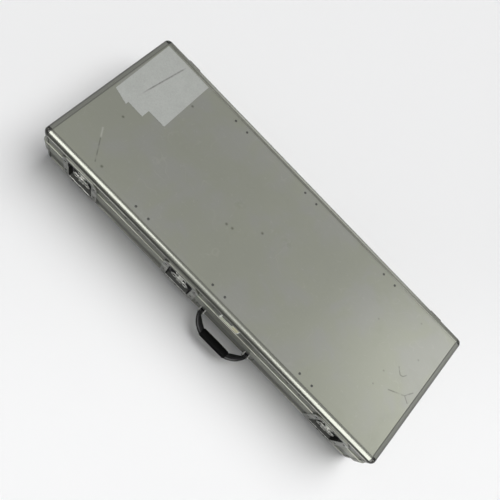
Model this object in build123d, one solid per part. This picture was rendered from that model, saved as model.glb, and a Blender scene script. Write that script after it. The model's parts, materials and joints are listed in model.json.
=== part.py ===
"""Flight case for an electric guitar: sheet panels held in rounded aluminium edge profiles, a
tongue-and-groove closure round the seam, three recessed butterfly latches and a folding handle on
the front, three stop hinges and rubber feet on the back, and a fitted foam bed inside.

Millimetres. X runs along the case, -Y is the latch side, +Y is the hinge side, +Z is up. The origin
is the centre of the underside of the base.
"""
import os

from build123d import *

# Overall sizes of the shell, over the edge profiles
CASE_LENGTH = 1080.0
CASE_WIDTH = 400.0
CASE_HEIGHT = 150.0
SEAM_HEIGHT = 79.0

# Sheet and edge profiles
PANEL = 4.0
EDGE_WALL = 1.6
EDGE_FLANGE = 17.0
EDGE_RADIUS = 12.0
EDGE_CORE = 9.0
PANEL_GAP = 0.2

# Closure extrusions round the seam
CLOSURE_PROUD = 1.5
CLOSURE_LEG = 1.6
LID_CLOSURE = 18.0
BASE_CLOSURE = 20.0
CLOSURE_WEB = 8.0
TONGUE_WIDTH = 3.0
TONGUE_DEPTH = 3.5
TONGUE_TAPER = 0.6
TONGUE_GAP = 0.3
GROOVE_DEPTH = 5.5
CORNER_BRACKET = 22.0
BRACKET_WALL = 1.2
BRACKET_INSET = 1.0

# Latches
LEFT_LATCH_INSET = 123.0
RIGHT_LATCH_INSET = 116.0
MIDDLE_LATCH = -83.0
LATCH_WIDTH = 112.0
LATCH_HEIGHT = 112.0
LATCH_CLIP = 13.0
DISH_WIDTH = 76.0
DISH_HEIGHT = 86.0
DISH_RADIUS = 8.0
DISH_DEPTH = 14.5
DISH_WALL = 1.2
PLATE = 1.5
SEAM_GAP = 0.2
CUT_GAP = 0.4
BEYOND = 1.0
ROTOR_DROP = 14.0
SPINDLE_RADIUS = 3.0
RUNNING_GAP = 0.05
ECCENTRIC_RADIUS = 8.0
ECCENTRIC_THROW = 3.0
YOKE_GAP = 0.8
HOOK_CLEAR = 0.5
HOOK_SHEET = 2.2
HOOK_NECK = 26.0
HOOK_WIDTH = 34.0
HOOK_RISE = 25.0
HOOK_BEND = 2.5
YOKE_RIM = 4.5
WING_REACH = 28.0
WING_HEIGHT = 26.0
WING_SHEET = 1.8
WING_PIN = 1.0
WING_PLAY = 0.15
PIN_SIDES = 8
WING_BARREL = 2.0
WING_PITCH = 5.5
WING_BELLY = 7.0
EAR_HEIGHT = 2.2
CARRIER_SHEET = 2.5
FLOOR_GAP = 0.3
KEEPER_RISE = 4.7
STRIKE_RISE = 17.0
STRIKE_SLOT = 4.0
STRIKE_WEB = 1.0
SIDE_RIVET_RISE = 8.0
SIDE_RIVET_FALL = 6.0

# Handle
HANDLE_PLACE = 85.5
HANDLE_SPAN = 154.0
HANDLE_HEIGHT = 42.0
HANDLE_REACH = 46.0
GRIP_DEPTH = 22.0
GRIP_THICKNESS = 19.0
GRIP_LENGTH = 84.0
GRIP_SLEEVE = 2.0
GRIP_ROUND = 9.0
GRIP_EASE = 1.6
BOW_BEVEL = 2.0
ARM_BEND = (0.33, 0.56)
ARM_STRAIGHT = 7.5
EYE_WIDTH = 12.0
EYE_RADIUS = 6.0
EYE_PIN = 2.5
EYE_PLAY = 0.15
EYE_GAP = 0.5
EAR_SHEET = 2.0
BRACKET_SHEET = 1.6
BRACKET_REACH = 28.0
BRACKET_RIM = 1.3
EAR_GAP = 0.3

# Hinges
HINGE_INSET = 160.0
HINGE_WIDTH = 60.0
LEAF_MARGIN = 4.0
HINGE_SHEET = 1.8
KNUCKLE_RADIUS = 4.0
KNUCKLE_LENGTH = 20.0
KNUCKLE_SIDES = 12
HINGE_PIN = 1.75
HINGE_GAP = 0.4
STOP_REACH = 9.0
STOP_SHEET = 2.0
BASE_STOP_ANGLE = 175.0
LID_STOP_ANGLE = 44.0

# Stiffeners and rivets of the lid
LEFT_STIFFENER_INSET = 290.0
RIGHT_STIFFENER_INSET = 253.0
STIFFENER_WIDTH = 60.0
STIFFENER_SHEET = 2.0
TOP_RIVET_INSET = 30.0
STIFFENER_DROP = 38.0
STRAP_GAP = 0.2
STRAP_CLEAR = 1.5
STRAP_STEP = 3.0
RIVET_PITCH = 40.0
RIVET_HEAD = 3.2
RIVET_RISE = 1.1
RIVET_SIDES = 8
RIVET_TAPER = 50.0
SIDE_RIVET_DROP = 31.0

# Feet
FOOT_INSET = 90.0
FOOT_LENGTH = 40.0
FOOT_WIDTH = 18.0
FOOT_BEVEL = 3.0
FOOT_HEIGHT = 14.6

# Foam and label
SOFT_GAP = 0.3
FOAM_FLOOR = 18.0
FOAM_DROP = 1.0
LID_PAD = 46.0
BODY_LENGTH = 430.0
LOWER_BOUT = 330.0
UPPER_BOUT = 280.0
WAIST_RADIUS = 90.0
NECK_WIDTH = 66.0
HEAD_LENGTH = 185.0
HEAD_WIDTH = 112.0
HEAD_RADIUS = 24.0
NECK_RADIUS = 20.0
CAVITY_END = 26.0
POCKET_LENGTH = 260.0
POCKET_WIDTH = 96.0
POCKET_WALL = 14.0
POCKET_RADIUS = 12.0
LABEL_PLACE = 74.0
LABEL_WIDTH = 60.0
LABEL_SHEET = 0.5

# Places that follow from the sizes above
SLOT_END = EDGE_WALL + PANEL
PROFILE_DEPTH = SLOT_END + EDGE_WALL
LENGTH_OVER_CLOSURE = CASE_LENGTH + 2 * CLOSURE_PROUD
WIDTH_OVER_CLOSURE = CASE_WIDTH + 2 * CLOSURE_PROUD
PANEL_FACE = CASE_WIDTH / 2 - EDGE_WALL
CLOSURE_FACE = CASE_WIDTH / 2 + CLOSURE_PROUD
CLOSURE_SLOT = EDGE_WALL + CLOSURE_PROUD
CLOSURE_DEPTH = CLOSURE_SLOT + PANEL + CLOSURE_LEG
LID_CLOSURE_TOP = SEAM_HEIGHT + LID_CLOSURE
BASE_CLOSURE_LOW = SEAM_HEIGHT - BASE_CLOSURE
LATCH_PLACES = {"left": LEFT_LATCH_INSET - CASE_LENGTH / 2, "middle": MIDDLE_LATCH,
                "right": CASE_LENGTH / 2 - RIGHT_LATCH_INSET}
LATCH_LOW = (CASE_HEIGHT - LATCH_HEIGHT) / 2
DISH_LOW = (CASE_HEIGHT - DISH_HEIGHT) / 2
PLATE_FACE = CLOSURE_FACE + PLATE
DISH_FLOOR = PLATE_FACE - DISH_DEPTH
ROTOR_HEIGHT = SEAM_HEIGHT - ROTOR_DROP
HOOK_NEAR = PLATE + HOOK_CLEAR
HOOK_FAR = HOOK_NEAR + HOOK_SHEET
CARRIER_NEAR = HOOK_FAR + FLOOR_GAP
CARRIER_FACE = CARRIER_NEAR + CARRIER_SHEET
WING_LEVEL = CARRIER_FACE + WING_BARREL
CARRIER_FAR = CARRIER_FACE + 2 * WING_BARREL
CARRIER_HALF = WING_PITCH + WING_BARREL
HINGE_AXIS = CLOSURE_FACE + KNUCKLE_RADIUS + HINGE_GAP
HINGE_PLACES = (HINGE_INSET - CASE_LENGTH / 2, 0.0, CASE_LENGTH / 2 - HINGE_INSET)
LID_LEAF = CASE_HEIGHT - SEAM_HEIGHT - EDGE_FLANGE - LEAF_MARGIN
BASE_LEAF = SEAM_HEIGHT - EDGE_FLANGE - LEAF_MARGIN
STIFFENER_PLACES = (LEFT_STIFFENER_INSET - CASE_LENGTH / 2, 0.0, CASE_LENGTH / 2 - RIGHT_STIFFENER_INSET)
FOOT_PLACES = (FOOT_INSET - CASE_LENGTH / 2, CASE_LENGTH / 2 - FOOT_INSET)
STRAP_DEPTH = PROFILE_DEPTH + STRAP_GAP + STIFFENER_SHEET
HANDLE_AXIS = PANEL_FACE + BRACKET_SHEET + EYE_RADIUS + EYE_GAP


def slab(x, y, z):
    """A box between two corners, each range given as (low, high)."""
    size = [high - low for low, high in (x, y, z)]
    middle = [(high + low) / 2 for low, high in (x, y, z)]
    return Pos(*middle) * Box(*size)


def side_section(points):
    """A face in the YZ plane from (y, z) points."""
    return make_face(Polyline([Vector(0, y, z) for y, z in points], close=True))


def run_along_x(face, length):
    """The face carried along X, centred on X = 0."""
    return Pos(-length / 2, 0, 0) * extrude(face, length, dir=(1, 0, 0))


def about_front(shape):
    """The same shape on the hinge side."""
    return mirror(shape, Plane.XZ)


def turned_to_base(shape):
    """A lid shape turned over about the case's middle height, for the base."""
    return Pos(0, 0, CASE_HEIGHT) * mirror(shape, Plane.XY)


def save(name, shapes):
    """Write one node; several separate solids of one kind go in as a group."""
    shapes = shapes if isinstance(shapes, (list, tuple)) else [shapes]
    solids = [solid for shape in shapes for solid in shape.solids()]
    node = solids[0] if len(solids) == 1 else Compound(children=solids)
    node.label = name
    export_step(node, f"parts/{name}.step")


# Edge profile: an angle with a rounded outer corner and a slot for each of the two sheets
def edge_section():
    """Section of the top front edge: outer corner at y = 0, z = 0, sheets towards +y and -z."""
    outer = slab((0, 1), (0, EDGE_FLANGE), (-EDGE_FLANGE, 0))
    corner = outer.edges().filter_by(Axis.X).sort_by(lambda e: e.center().Z - e.center().Y)[-1]
    bar = fillet(corner, EDGE_RADIUS)
    bar -= slab((0, 1), (PROFILE_DEPTH, EDGE_FLANGE), (-EDGE_FLANGE, -PROFILE_DEPTH))
    bar -= slab((0, 1), (EDGE_CORE, EDGE_FLANGE), (-SLOT_END, -EDGE_WALL))
    bar -= slab((0, 1), (EDGE_WALL, SLOT_END), (-EDGE_FLANGE, -EDGE_CORE))
    return bar.faces().sort_by(Axis.X)[0]


def edge_bar(length):
    return run_along_x(edge_section(), length)


def lid_edges():
    """Front, back and the two end profiles round the top of the lid, between the corner caps."""
    front = Pos(0, -CASE_WIDTH / 2, CASE_HEIGHT) * edge_bar(CASE_LENGTH - 2 * EDGE_FLANGE)
    left = Rot(0, 0, -90) * edge_bar(CASE_WIDTH - 2 * EDGE_FLANGE)
    left = Pos(-CASE_LENGTH / 2, 0, CASE_HEIGHT) * left
    return front, about_front(front), [left, mirror(left, Plane.YZ)]


def corner_posts(low, high):
    """The same profile upright at the four corners."""
    post = Rot(0, -90, 0) * edge_bar(high - low)
    post = Pos(-CASE_LENGTH / 2, -CASE_WIDTH / 2, (low + high) / 2) * post
    return four_corners(post)


def four_corners(shape):
    """A shape from the left front corner repeated at all four corners."""
    front = [shape, mirror(shape, Plane.YZ)]
    return front + [about_front(piece) for piece in front]


def lid_caps():
    """Corner caps: three rounded bars meeting, with the slots of the profiles that join there."""
    near, deep, end = EDGE_CORE, PROFILE_DEPTH, EDGE_FLANGE
    block = slab((0, end), (0, end), (-end, 0))
    cap = block
    for axis in (Axis.X, Axis.Y, Axis.Z):
        outer = block.edges().filter_by(axis).sort_by(lambda e: e.center().X + e.center().Y - e.center().Z)
        cap &= fillet(outer[0], EDGE_RADIUS)
    cap -= slab((deep, end), (deep, end), (-end, -deep))
    cap -= slab((near, end), (near, end), (-SLOT_END, -EDGE_WALL))
    cap -= slab((near, end), (EDGE_WALL, SLOT_END), (-end, -near))
    cap -= slab((EDGE_WALL, SLOT_END), (near, end), (-end, -near))
    return four_corners(Pos(-CASE_LENGTH / 2, -CASE_WIDTH / 2, CASE_HEIGHT) * cap)


# Closure: lid bars with a tapered tongue, base bars with a groove that holds the seal
def lid_closure_section():
    top, web = LID_CLOSURE, CLOSURE_WEB
    tongue = CLOSURE_SLOT + (PANEL - TONGUE_WIDTH) / 2
    tip = tongue + TONGUE_TAPER
    return side_section([
        (0, 0), (tongue, 0), (tip, -TONGUE_DEPTH),
        (tip + TONGUE_WIDTH - 2 * TONGUE_TAPER, -TONGUE_DEPTH), (tongue + TONGUE_WIDTH, 0),
        (CLOSURE_DEPTH, 0), (CLOSURE_DEPTH, top), (CLOSURE_SLOT + PANEL, top),
        (CLOSURE_SLOT + PANEL, web), (CLOSURE_SLOT, web), (CLOSURE_SLOT, top),
        (EDGE_WALL / 2, top), (0, top - EDGE_WALL / 2)])


def base_closure_section():
    low, web = -BASE_CLOSURE, -CLOSURE_WEB - TONGUE_DEPTH
    groove = CLOSURE_SLOT + (PANEL - TONGUE_WIDTH) / 2 - TONGUE_GAP
    groove_end = groove + TONGUE_WIDTH + 2 * TONGUE_GAP
    return side_section([
        (0, 0), (groove, 0), (groove, -GROOVE_DEPTH), (groove_end, -GROOVE_DEPTH),
        (groove_end, 0), (CLOSURE_DEPTH, 0), (CLOSURE_DEPTH, low), (CLOSURE_SLOT + PANEL, low),
        (CLOSURE_SLOT + PANEL, web), (CLOSURE_SLOT, web), (CLOSURE_SLOT, low),
        (EDGE_WALL / 2, low), (0, low + EDGE_WALL / 2)])


def seal_section():
    """Rubber strip in the foot of the groove, just short of the tongue."""
    near = CLOSURE_SLOT + (PANEL - TONGUE_WIDTH) / 2
    top = -TONGUE_DEPTH - SOFT_GAP
    return side_section([(near, -GROOVE_DEPTH), (near + TONGUE_WIDTH, -GROOVE_DEPTH),
                         (near + TONGUE_WIDTH, top), (near, top)])


def mitred_bar(section, length):
    """A bar cut at 45 degrees at both ends, outer face at y = 0."""
    bar = run_along_x(section, length)
    depth = 2 * CLOSURE_DEPTH
    reach = CASE_HEIGHT
    outline = Polyline((-length / 2, 0), (length / 2, 0), (length / 2 - depth, depth),
                       (-length / 2 + depth, depth), close=True)
    return bar & Pos(0, 0, -reach / 2) * extrude(make_face(outline), reach)


def closure_ring(section):
    """Front, back and end bars of one closure ring; the front one is cut away at the latches."""
    front = Pos(0, -CLOSURE_FACE, SEAM_HEIGHT) * mitred_bar(section, LENGTH_OVER_CLOSURE)
    back = about_front(front)
    left = Rot(0, 0, -90) * mitred_bar(section, WIDTH_OVER_CLOSURE)
    left = Pos(-LENGTH_OVER_CLOSURE / 2, 0, SEAM_HEIGHT) * left
    for place in LATCH_PLACES.values():
        front -= dish_room(place)
    return front, back, [left, mirror(left, Plane.YZ)]


def closure_corners(low, high):
    """Thin angle brackets over the mitred corners of a closure ring."""
    x, y = -LENGTH_OVER_CLOSURE / 2, -CLOSURE_FACE
    wall, leg = BRACKET_WALL, CORNER_BRACKET
    angle = slab((x - wall, x + leg), (y - wall, y), (low, high))
    angle += slab((x - wall, x), (y - wall, y + leg), (low, high))
    return four_corners(angle)


# Sheet panels, each held in the slots round it
def dish_room(place):
    """The space that a latch dish needs through the front of the case."""
    half = DISH_WIDTH / 2 + DISH_WALL + CUT_GAP
    low = DISH_LOW - DISH_WALL - CUT_GAP
    high = DISH_LOW + DISH_HEIGHT + DISH_WALL + CUT_GAP
    return slab((place - half, place + half), (-CLOSURE_FACE - BEYOND, -DISH_FLOOR + BEYOND), (low, high))


def flat_panel(z_low, z_high, inset):
    """A level sheet, its edges inset from the outside of the case."""
    x, y = CASE_LENGTH / 2 - inset, CASE_WIDTH / 2 - inset
    return slab((-x, x), (-y, y), (z_low, z_high))


def side_panels(low, high):
    """Front, back and end sheets between two heights."""
    x = CASE_LENGTH / 2 - EDGE_CORE - PANEL_GAP
    y = CASE_WIDTH / 2 - EDGE_CORE - PANEL_GAP
    back = slab((-x, x), (PANEL_FACE - PANEL, PANEL_FACE), (low, high))
    front = about_front(back)
    for place in LATCH_PLACES.values():
        front -= dish_room(place)
    face = CASE_LENGTH / 2 - EDGE_WALL
    right = slab((face - PANEL, face), (-y, y), (low, high))
    return front, back, [mirror(right, Plane.YZ), right]


# Rivets: only the heads are modelled, seated on the face of what they hold
def rivet(point, facing):
    """Head on a face at a point; facing is up, front or back."""
    turn = {"up": (0, 0, 0), "front": (90, 0, 0), "back": (-90, 0, 0)}[facing]
    head = extrude(RegularPolygon(RIVET_HEAD, RIVET_SIDES), RIVET_RISE, taper=RIVET_TAPER)
    return Pos(*point) * Rot(*turn) * head


def under_a_hinge(place):
    """Whether a hinge covers the back end of the stiffener at this place."""
    return any(abs(place - hinge) < (HINGE_WIDTH + RIVET_PITCH) / 2 for hinge in HINGE_PLACES)


def stiffener_rivets():
    """Two rivets on each top and side face; a hinge's own rivets serve where one covers them."""
    y_top = CASE_WIDTH / 2 - TOP_RIVET_INSET
    z_top = CASE_HEIGHT - EDGE_WALL
    z_side = CASE_HEIGHT - SIDE_RIVET_DROP
    rivets = []
    for place in STIFFENER_PLACES:
        for x in (place - RIVET_PITCH / 2, place + RIVET_PITCH / 2):
            rivets += [rivet((x, -y_top, z_top), "up"), rivet((x, y_top, z_top), "up"),
                       rivet((x, -PANEL_FACE, z_side), "front")]
            if not under_a_hinge(place):
                rivets.append(rivet((x, PANEL_FACE, z_side), "back"))
    return rivets


def stiffener(place):
    """A strap under the top sheet, stepped round the edge profiles and turned down both sides."""
    sheet = STIFFENER_SHEET
    under_top = CASE_HEIGHT - SLOT_END - sheet / 2
    under_leg = CASE_HEIGHT - PROFILE_DEPTH - STRAP_GAP - sheet / 2
    by_panel = CASE_WIDTH / 2 - SLOT_END - sheet / 2
    by_leg = CASE_WIDTH / 2 - PROFILE_DEPTH - STRAP_GAP - sheet / 2
    step = CASE_WIDTH / 2 - EDGE_FLANGE - STRAP_CLEAR
    side_step = CASE_HEIGHT - EDGE_FLANGE - STRAP_CLEAR
    right = [(0, under_top), (step - STRAP_STEP, under_top), (step, under_leg), (by_leg, under_leg),
             (by_leg, side_step), (by_panel, side_step - STRAP_STEP),
             (by_panel, CASE_HEIGHT - STIFFENER_DROP)]
    path = [(-y, z) for y, z in reversed(right[1:])] + right
    strap = trace(Polyline(*path), sheet)
    return Pos(place - STIFFENER_WIDTH / 2, 0, 0) * extrude(Plane.YZ * strap.face(), STIFFENER_WIDTH)


# Latches
def latch_outline():
    """Plate outline with clipped corners, in XZ about the latch's own middle."""
    x, z, clip = LATCH_WIDTH / 2, LATCH_HEIGHT / 2, LATCH_CLIP
    points = [(-x, -z + clip), (-x + clip, -z), (x - clip, -z), (x, -z + clip),
              (x, z - clip), (x - clip, z), (-x + clip, z), (-x, z - clip)]
    return make_face(Polyline(*points, close=True))


def front_plate(sketch, outer, inner):
    """A sketch drawn in XZ given thickness between two distances in front of the case's middle."""
    depth = outer - inner
    return Pos(0, -inner, CASE_HEIGHT / 2) * extrude(Plane.XZ * sketch, depth)


def latch_shell():
    """The whole dish before it is parted at the seam, about X = 0."""
    outline = latch_outline()
    opening = RectangleRounded(DISH_WIDTH, DISH_HEIGHT, DISH_RADIUS)
    tub = Rectangle(DISH_WIDTH + 2 * DISH_WALL, DISH_HEIGHT + 2 * DISH_WALL)
    lip = outline - offset(outline, -DISH_WALL)
    shell = front_plate(outline, PLATE_FACE, CLOSURE_FACE)
    shell += front_plate(lip, CLOSURE_FACE, PANEL_FACE)
    shell -= slab((-LATCH_WIDTH, LATCH_WIDTH), (-CLOSURE_FACE, -PANEL_FACE),
                  (BASE_CLOSURE_LOW, LID_CLOSURE_TOP))
    shell += front_plate(tub, CLOSURE_FACE, DISH_FLOOR - DISH_WALL)
    return shell - front_plate(opening, PLATE_FACE, DISH_FLOOR)


def latch_rivets(place, upper):
    """Rivets of the lid plate or of the base plate of a latch."""
    side = (LATCH_WIDTH + DISH_WIDTH) / 4
    low = (LATCH_LOW + DISH_LOW) / 2
    high = CASE_HEIGHT - low
    if upper:
        rise = LID_CLOSURE_TOP + SIDE_RIVET_RISE
        spots = [(-side, rise), (side, rise), (0, high)]
    else:
        fall = BASE_CLOSURE_LOW - SIDE_RIVET_FALL
        spots = [(-side, fall), (side, fall), (-side / 2, low), (0, low), (side / 2, low)]
    return [rivet((place + x, -PLATE_FACE, z), "front") for x, z in spots]


def latch_dish(place):
    """Base half of the dish, with the bore for the rotor's spindle."""
    dish = latch_shell() & slab((-LATCH_WIDTH, LATCH_WIDTH), (-CASE_WIDTH, 0),
                                (0, SEAM_HEIGHT - SEAM_GAP))
    dish -= disc(SPINDLE_RADIUS + RUNNING_GAP, -2 * DISH_WALL, DISH_WALL)
    return Pos(place, 0, 0) * dish


def latch_keeper(place):
    """Lid half of the dish, with the raised strike that the hook lies on."""
    keeper = latch_shell() & slab((-LATCH_WIDTH, LATCH_WIDTH), (-CASE_WIDTH, 0),
                                  (SEAM_HEIGHT + SEAM_GAP, CASE_HEIGHT))
    low = SEAM_HEIGHT + STRIKE_RISE
    strike = slab((-HOOK_NECK / 2, HOOK_NECK / 2), (-DISH_FLOOR - KEEPER_RISE, -DISH_FLOOR),
                  (low, DISH_LOW + DISH_HEIGHT))
    ramp = strike.edges().filter_by(Axis.X).sort_by(lambda e: e.center().Y + e.center().Z)[0]
    strike = chamfer(ramp, KEEPER_RISE / 3)
    slot = slab((-HOOK_NECK / 3, HOOK_NECK / 3), (-DISH_FLOOR - KEEPER_RISE, -DISH_FLOOR - STRIKE_WEB),
                (low + STRIKE_SLOT, low + 2 * STRIKE_SLOT))
    return Pos(place, 0, 0) * (keeper + strike - slot)


def disc(radius, near, far, x=0.0, z=0.0):
    """A disc about the rotor's axis between two distances in front of the dish floor."""
    return Pos(x, -DISH_FLOOR - (near + far) / 2, ROTOR_HEIGHT + z) * Rot(90, 0, 0) * Cylinder(
        radius, far - near)


def wing_axis(x):
    """Foot of a wing's pin, inside the lower ear of the carrier."""
    return Pos(x, -DISH_FLOOR - WING_LEVEL, -(WING_HEIGHT - EAR_HEIGHT) / 2)


def latch_rotor(place):
    """Spindle, eccentric and the eared carrier that holds the two wing pins, in one casting."""
    rotor = disc(SPINDLE_RADIUS, -DISH_WALL, FLOOR_GAP)
    rotor += disc(ECCENTRIC_RADIUS, FLOOR_GAP, CARRIER_NEAR, z=-ECCENTRIC_THROW)
    half = WING_HEIGHT / 2
    near, back, far = (-DISH_FLOOR - level for level in (CARRIER_NEAR, CARRIER_FACE, CARRIER_FAR))
    core = WING_PITCH - WING_BARREL - CUT_GAP
    carrier = slab((-CARRIER_HALF, CARRIER_HALF), (back, near), (-half, half))
    carrier += slab((-core, core), (far, back), (-half, half))
    for end in (-1, 1):
        ear = sorted((end * half, end * (half - EAR_HEIGHT)))
        carrier += slab((-CARRIER_HALF, CARRIER_HALF), (far, back), ear)
    for side in (-1, 1):
        carrier += wing_axis(side * WING_PITCH) * extrude(
            RegularPolygon(WING_PIN, PIN_SIDES), WING_HEIGHT - EAR_HEIGHT)
    return Pos(place, 0, 0) * (rotor + Pos(0, 0, ROTOR_HEIGHT) * carrier)


def latch_wing(place, side):
    """One butterfly wing on its barrel, lying flat; side is 1 for right and -1 for left."""
    barrel_half = WING_HEIGHT / 2 - EAR_HEIGHT - SEAM_GAP
    half, root, end = WING_HEIGHT / 2, WING_PITCH, WING_REACH - WING_BELLY
    neck = CARRIER_HALF + WING_BARREL / 2
    blade = make_face([
        Polyline((end, -half), (neck, -barrel_half), (root, -barrel_half), (root, barrel_half),
                 (neck, barrel_half), (end, half)),
        ThreePointArc((end, half), (WING_REACH, 0), (end, -half))])
    blade -= Pos(end - WING_BELLY / 2, 0) * Rectangle(WING_BELLY, half)
    level = DISH_FLOOR + WING_LEVEL
    blade = Pos(0, -level + WING_SHEET / 2, 0) * extrude(Plane.XZ * blade, WING_SHEET)
    barrel = Pos(root, -level, 0) * Cylinder(WING_BARREL, 2 * barrel_half)
    bore = wing_axis(root) * extrude(RegularPolygon(WING_PIN + WING_PLAY, PIN_SIDES), WING_HEIGHT)
    wing = blade + barrel - bore
    if side < 0:
        wing = mirror(wing, Plane.YZ)
    return Pos(place, 0, ROTOR_HEIGHT) * wing


def latch_hook(place):
    """Yoke round the eccentric, with a neck that steps outwards in front of the strike."""
    window = 2 * (ECCENTRIC_RADIUS + YOKE_GAP)
    middle = ROTOR_HEIGHT - ECCENTRIC_THROW
    low, high = middle - window / 2 - YOKE_RIM, SEAM_HEIGHT + HOOK_BEND
    y_in, y_out = -DISH_FLOOR - HOOK_NEAR, -DISH_FLOOR - HOOK_FAR
    step = KEEPER_RISE + CUT_GAP - HOOK_NEAR
    bend = high + step + CUT_GAP
    top = SEAM_HEIGHT + HOOK_RISE
    profile = side_section([
        (y_in, low), (y_in, high), (y_in - step, bend), (y_in - step, top),
        (y_out - step, top), (y_out - step, bend - CUT_GAP), (y_out, high - CUT_GAP), (y_out, low)])
    plate = run_along_x(profile, HOOK_WIDTH)
    neck_low = middle + window / 2 + YOKE_RIM
    for side in (-1, 1):
        trim = sorted((side * HOOK_NECK / 2, side * HOOK_WIDTH))
        plate -= slab(trim, (-CASE_WIDTH, 0), (neck_low, CASE_HEIGHT))
    throw = ECCENTRIC_RADIUS + ECCENTRIC_THROW + YOKE_GAP
    plate -= slab((-throw, throw), (-CASE_WIDTH, 0), (middle - window / 2, middle + window / 2))
    return Pos(place, 0, 0) * plate


# Handle
def handle_arm(start, end):
    """Edge of one arm, a single arc from the eye to the grip."""
    (x0, y0), (x1, y1) = start, end
    middle = (x0 + ARM_BEND[0] * (x1 - x0), y0 + ARM_BEND[1] * (y1 - y0))
    return ThreePointArc(start, middle, end)


def handle_bow():
    """Moulded bow: one half of its plan given thickness, bevelled along its edges and mirrored."""
    x_out, x_in = (HANDLE_SPAN + EYE_WIDTH) / 2, (HANDLE_SPAN - EYE_WIDTH) / 2
    reach, grip = HANDLE_REACH - GRIP_SLEEVE, GRIP_LENGTH / 2
    inner = HANDLE_REACH - GRIP_DEPTH + GRIP_SLEEVE
    plan = make_face([
        Line((0, inner), (grip, inner)), handle_arm((x_in, ARM_STRAIGHT), (grip, inner)),
        Line((x_in, ARM_STRAIGHT), (x_in, 0)), Line((x_in, 0), (x_out, 0)),
        Line((x_out, 0), (x_out, ARM_STRAIGHT)), handle_arm((x_out, ARM_STRAIGHT), (grip, reach)),
        Line((grip, reach), (0, reach)), Line((0, reach), (0, inner))])
    half = Pos(0, 0, -EYE_RADIUS) * extrude(plan, 2 * EYE_RADIUS)
    rims = [edge for edge in half.edges() if abs(abs(edge.center().Z) - EYE_RADIUS) < 0.01
            and edge.center().Y > 1 and edge.center().X > 1]
    half = chamfer(rims, BOW_BEVEL)
    eye = Pos((x_in + x_out) / 2, 0, 0) * Rot(0, 90, 0)
    half += eye * Cylinder(EYE_RADIUS, EYE_WIDTH)
    half -= eye * Cylinder(EYE_PIN + EYE_PLAY, 2 * EYE_WIDTH)
    return handle_place(half + mirror(half, Plane.YZ))


def handle_grip():
    """Soft sleeve over the middle of the bow, fuller than the arms, with rounded ends."""
    middle = HANDLE_REACH - GRIP_DEPTH / 2
    section = chamfer(Rectangle(GRIP_DEPTH, GRIP_THICKNESS).vertices(), GRIP_ROUND / 2)
    section = chamfer(section.vertices(), GRIP_EASE)
    outer = run_along_x(Plane.YZ * section, GRIP_LENGTH)
    outer = chamfer(outer.faces().filter_by(Axis.X).edges(), GRIP_SLEEVE)
    core = Rectangle(GRIP_DEPTH - 2 * GRIP_SLEEVE + 2 * RUNNING_GAP, 2 * EYE_RADIUS + 2 * RUNNING_GAP)
    core = chamfer(core.vertices(), BOW_BEVEL)
    return handle_place(Pos(0, middle, 0) * (outer - run_along_x(Plane.YZ * core, 2 * GRIP_LENGTH)))


def handle_place(shape):
    """A handle piece drawn with +y outwards, turned to the front of the case."""
    return Pos(HANDLE_PLACE, -HANDLE_AXIS, HANDLE_HEIGHT) * mirror(shape, Plane.XZ)


def handle_rivets():
    """Two rivets outboard of each end of the handle."""
    reach = HANDLE_SPAN / 2 + BRACKET_REACH - 2 * RIVET_HEAD
    return [rivet((HANDLE_PLACE + end * reach, -PANEL_FACE - BRACKET_SHEET, HANDLE_HEIGHT + z), "front")
            for end in (-1, 1) for z in (-EYE_RADIUS, EYE_RADIUS)]


def handle_bracket(end):
    """Riveted plate with two folded ears and the pin that is peened into them."""
    half = EYE_WIDTH / 2 + EAR_GAP
    plate_x = sorted((-end * (half + EAR_SHEET), end * BRACKET_REACH))
    tall = EYE_RADIUS + EYE_GAP
    face = PANEL_FACE + BRACKET_SHEET
    high = tall + RIVET_HEAD + BRACKET_RIM
    bracket = slab(plate_x, (-face, -PANEL_FACE), (-high, high))
    clip = tall / 2
    profile = side_section([(-PANEL_FACE, -tall), (-PANEL_FACE, tall), (-HANDLE_AXIS - clip, tall),
                            (-HANDLE_AXIS - tall, clip), (-HANDLE_AXIS - tall, -clip),
                            (-HANDLE_AXIS - clip, -tall)])
    for x in (-half - EAR_SHEET / 2, half + EAR_SHEET / 2):
        bracket += Pos(x, 0, 0) * run_along_x(profile, EAR_SHEET)
    bracket += Pos(0, -HANDLE_AXIS, 0) * Rot(0, 90, 0) * Cylinder(EYE_PIN, 2 * half + EAR_SHEET)
    return Pos(HANDLE_PLACE + end * HANDLE_SPAN / 2, 0, HANDLE_HEIGHT) * bracket


# Hinges
def hinge_rivets(place, upper):
    leaf, away = (LID_LEAF, 1) if upper else (BASE_LEAF, -1)
    z = SEAM_HEIGHT + away * (leaf - 3 * RIVET_HEAD)
    return [rivet((place + x, PANEL_FACE + HINGE_SHEET, z), "back")
            for x in (-HINGE_WIDTH / 3, HINGE_WIDTH / 3)]


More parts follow.
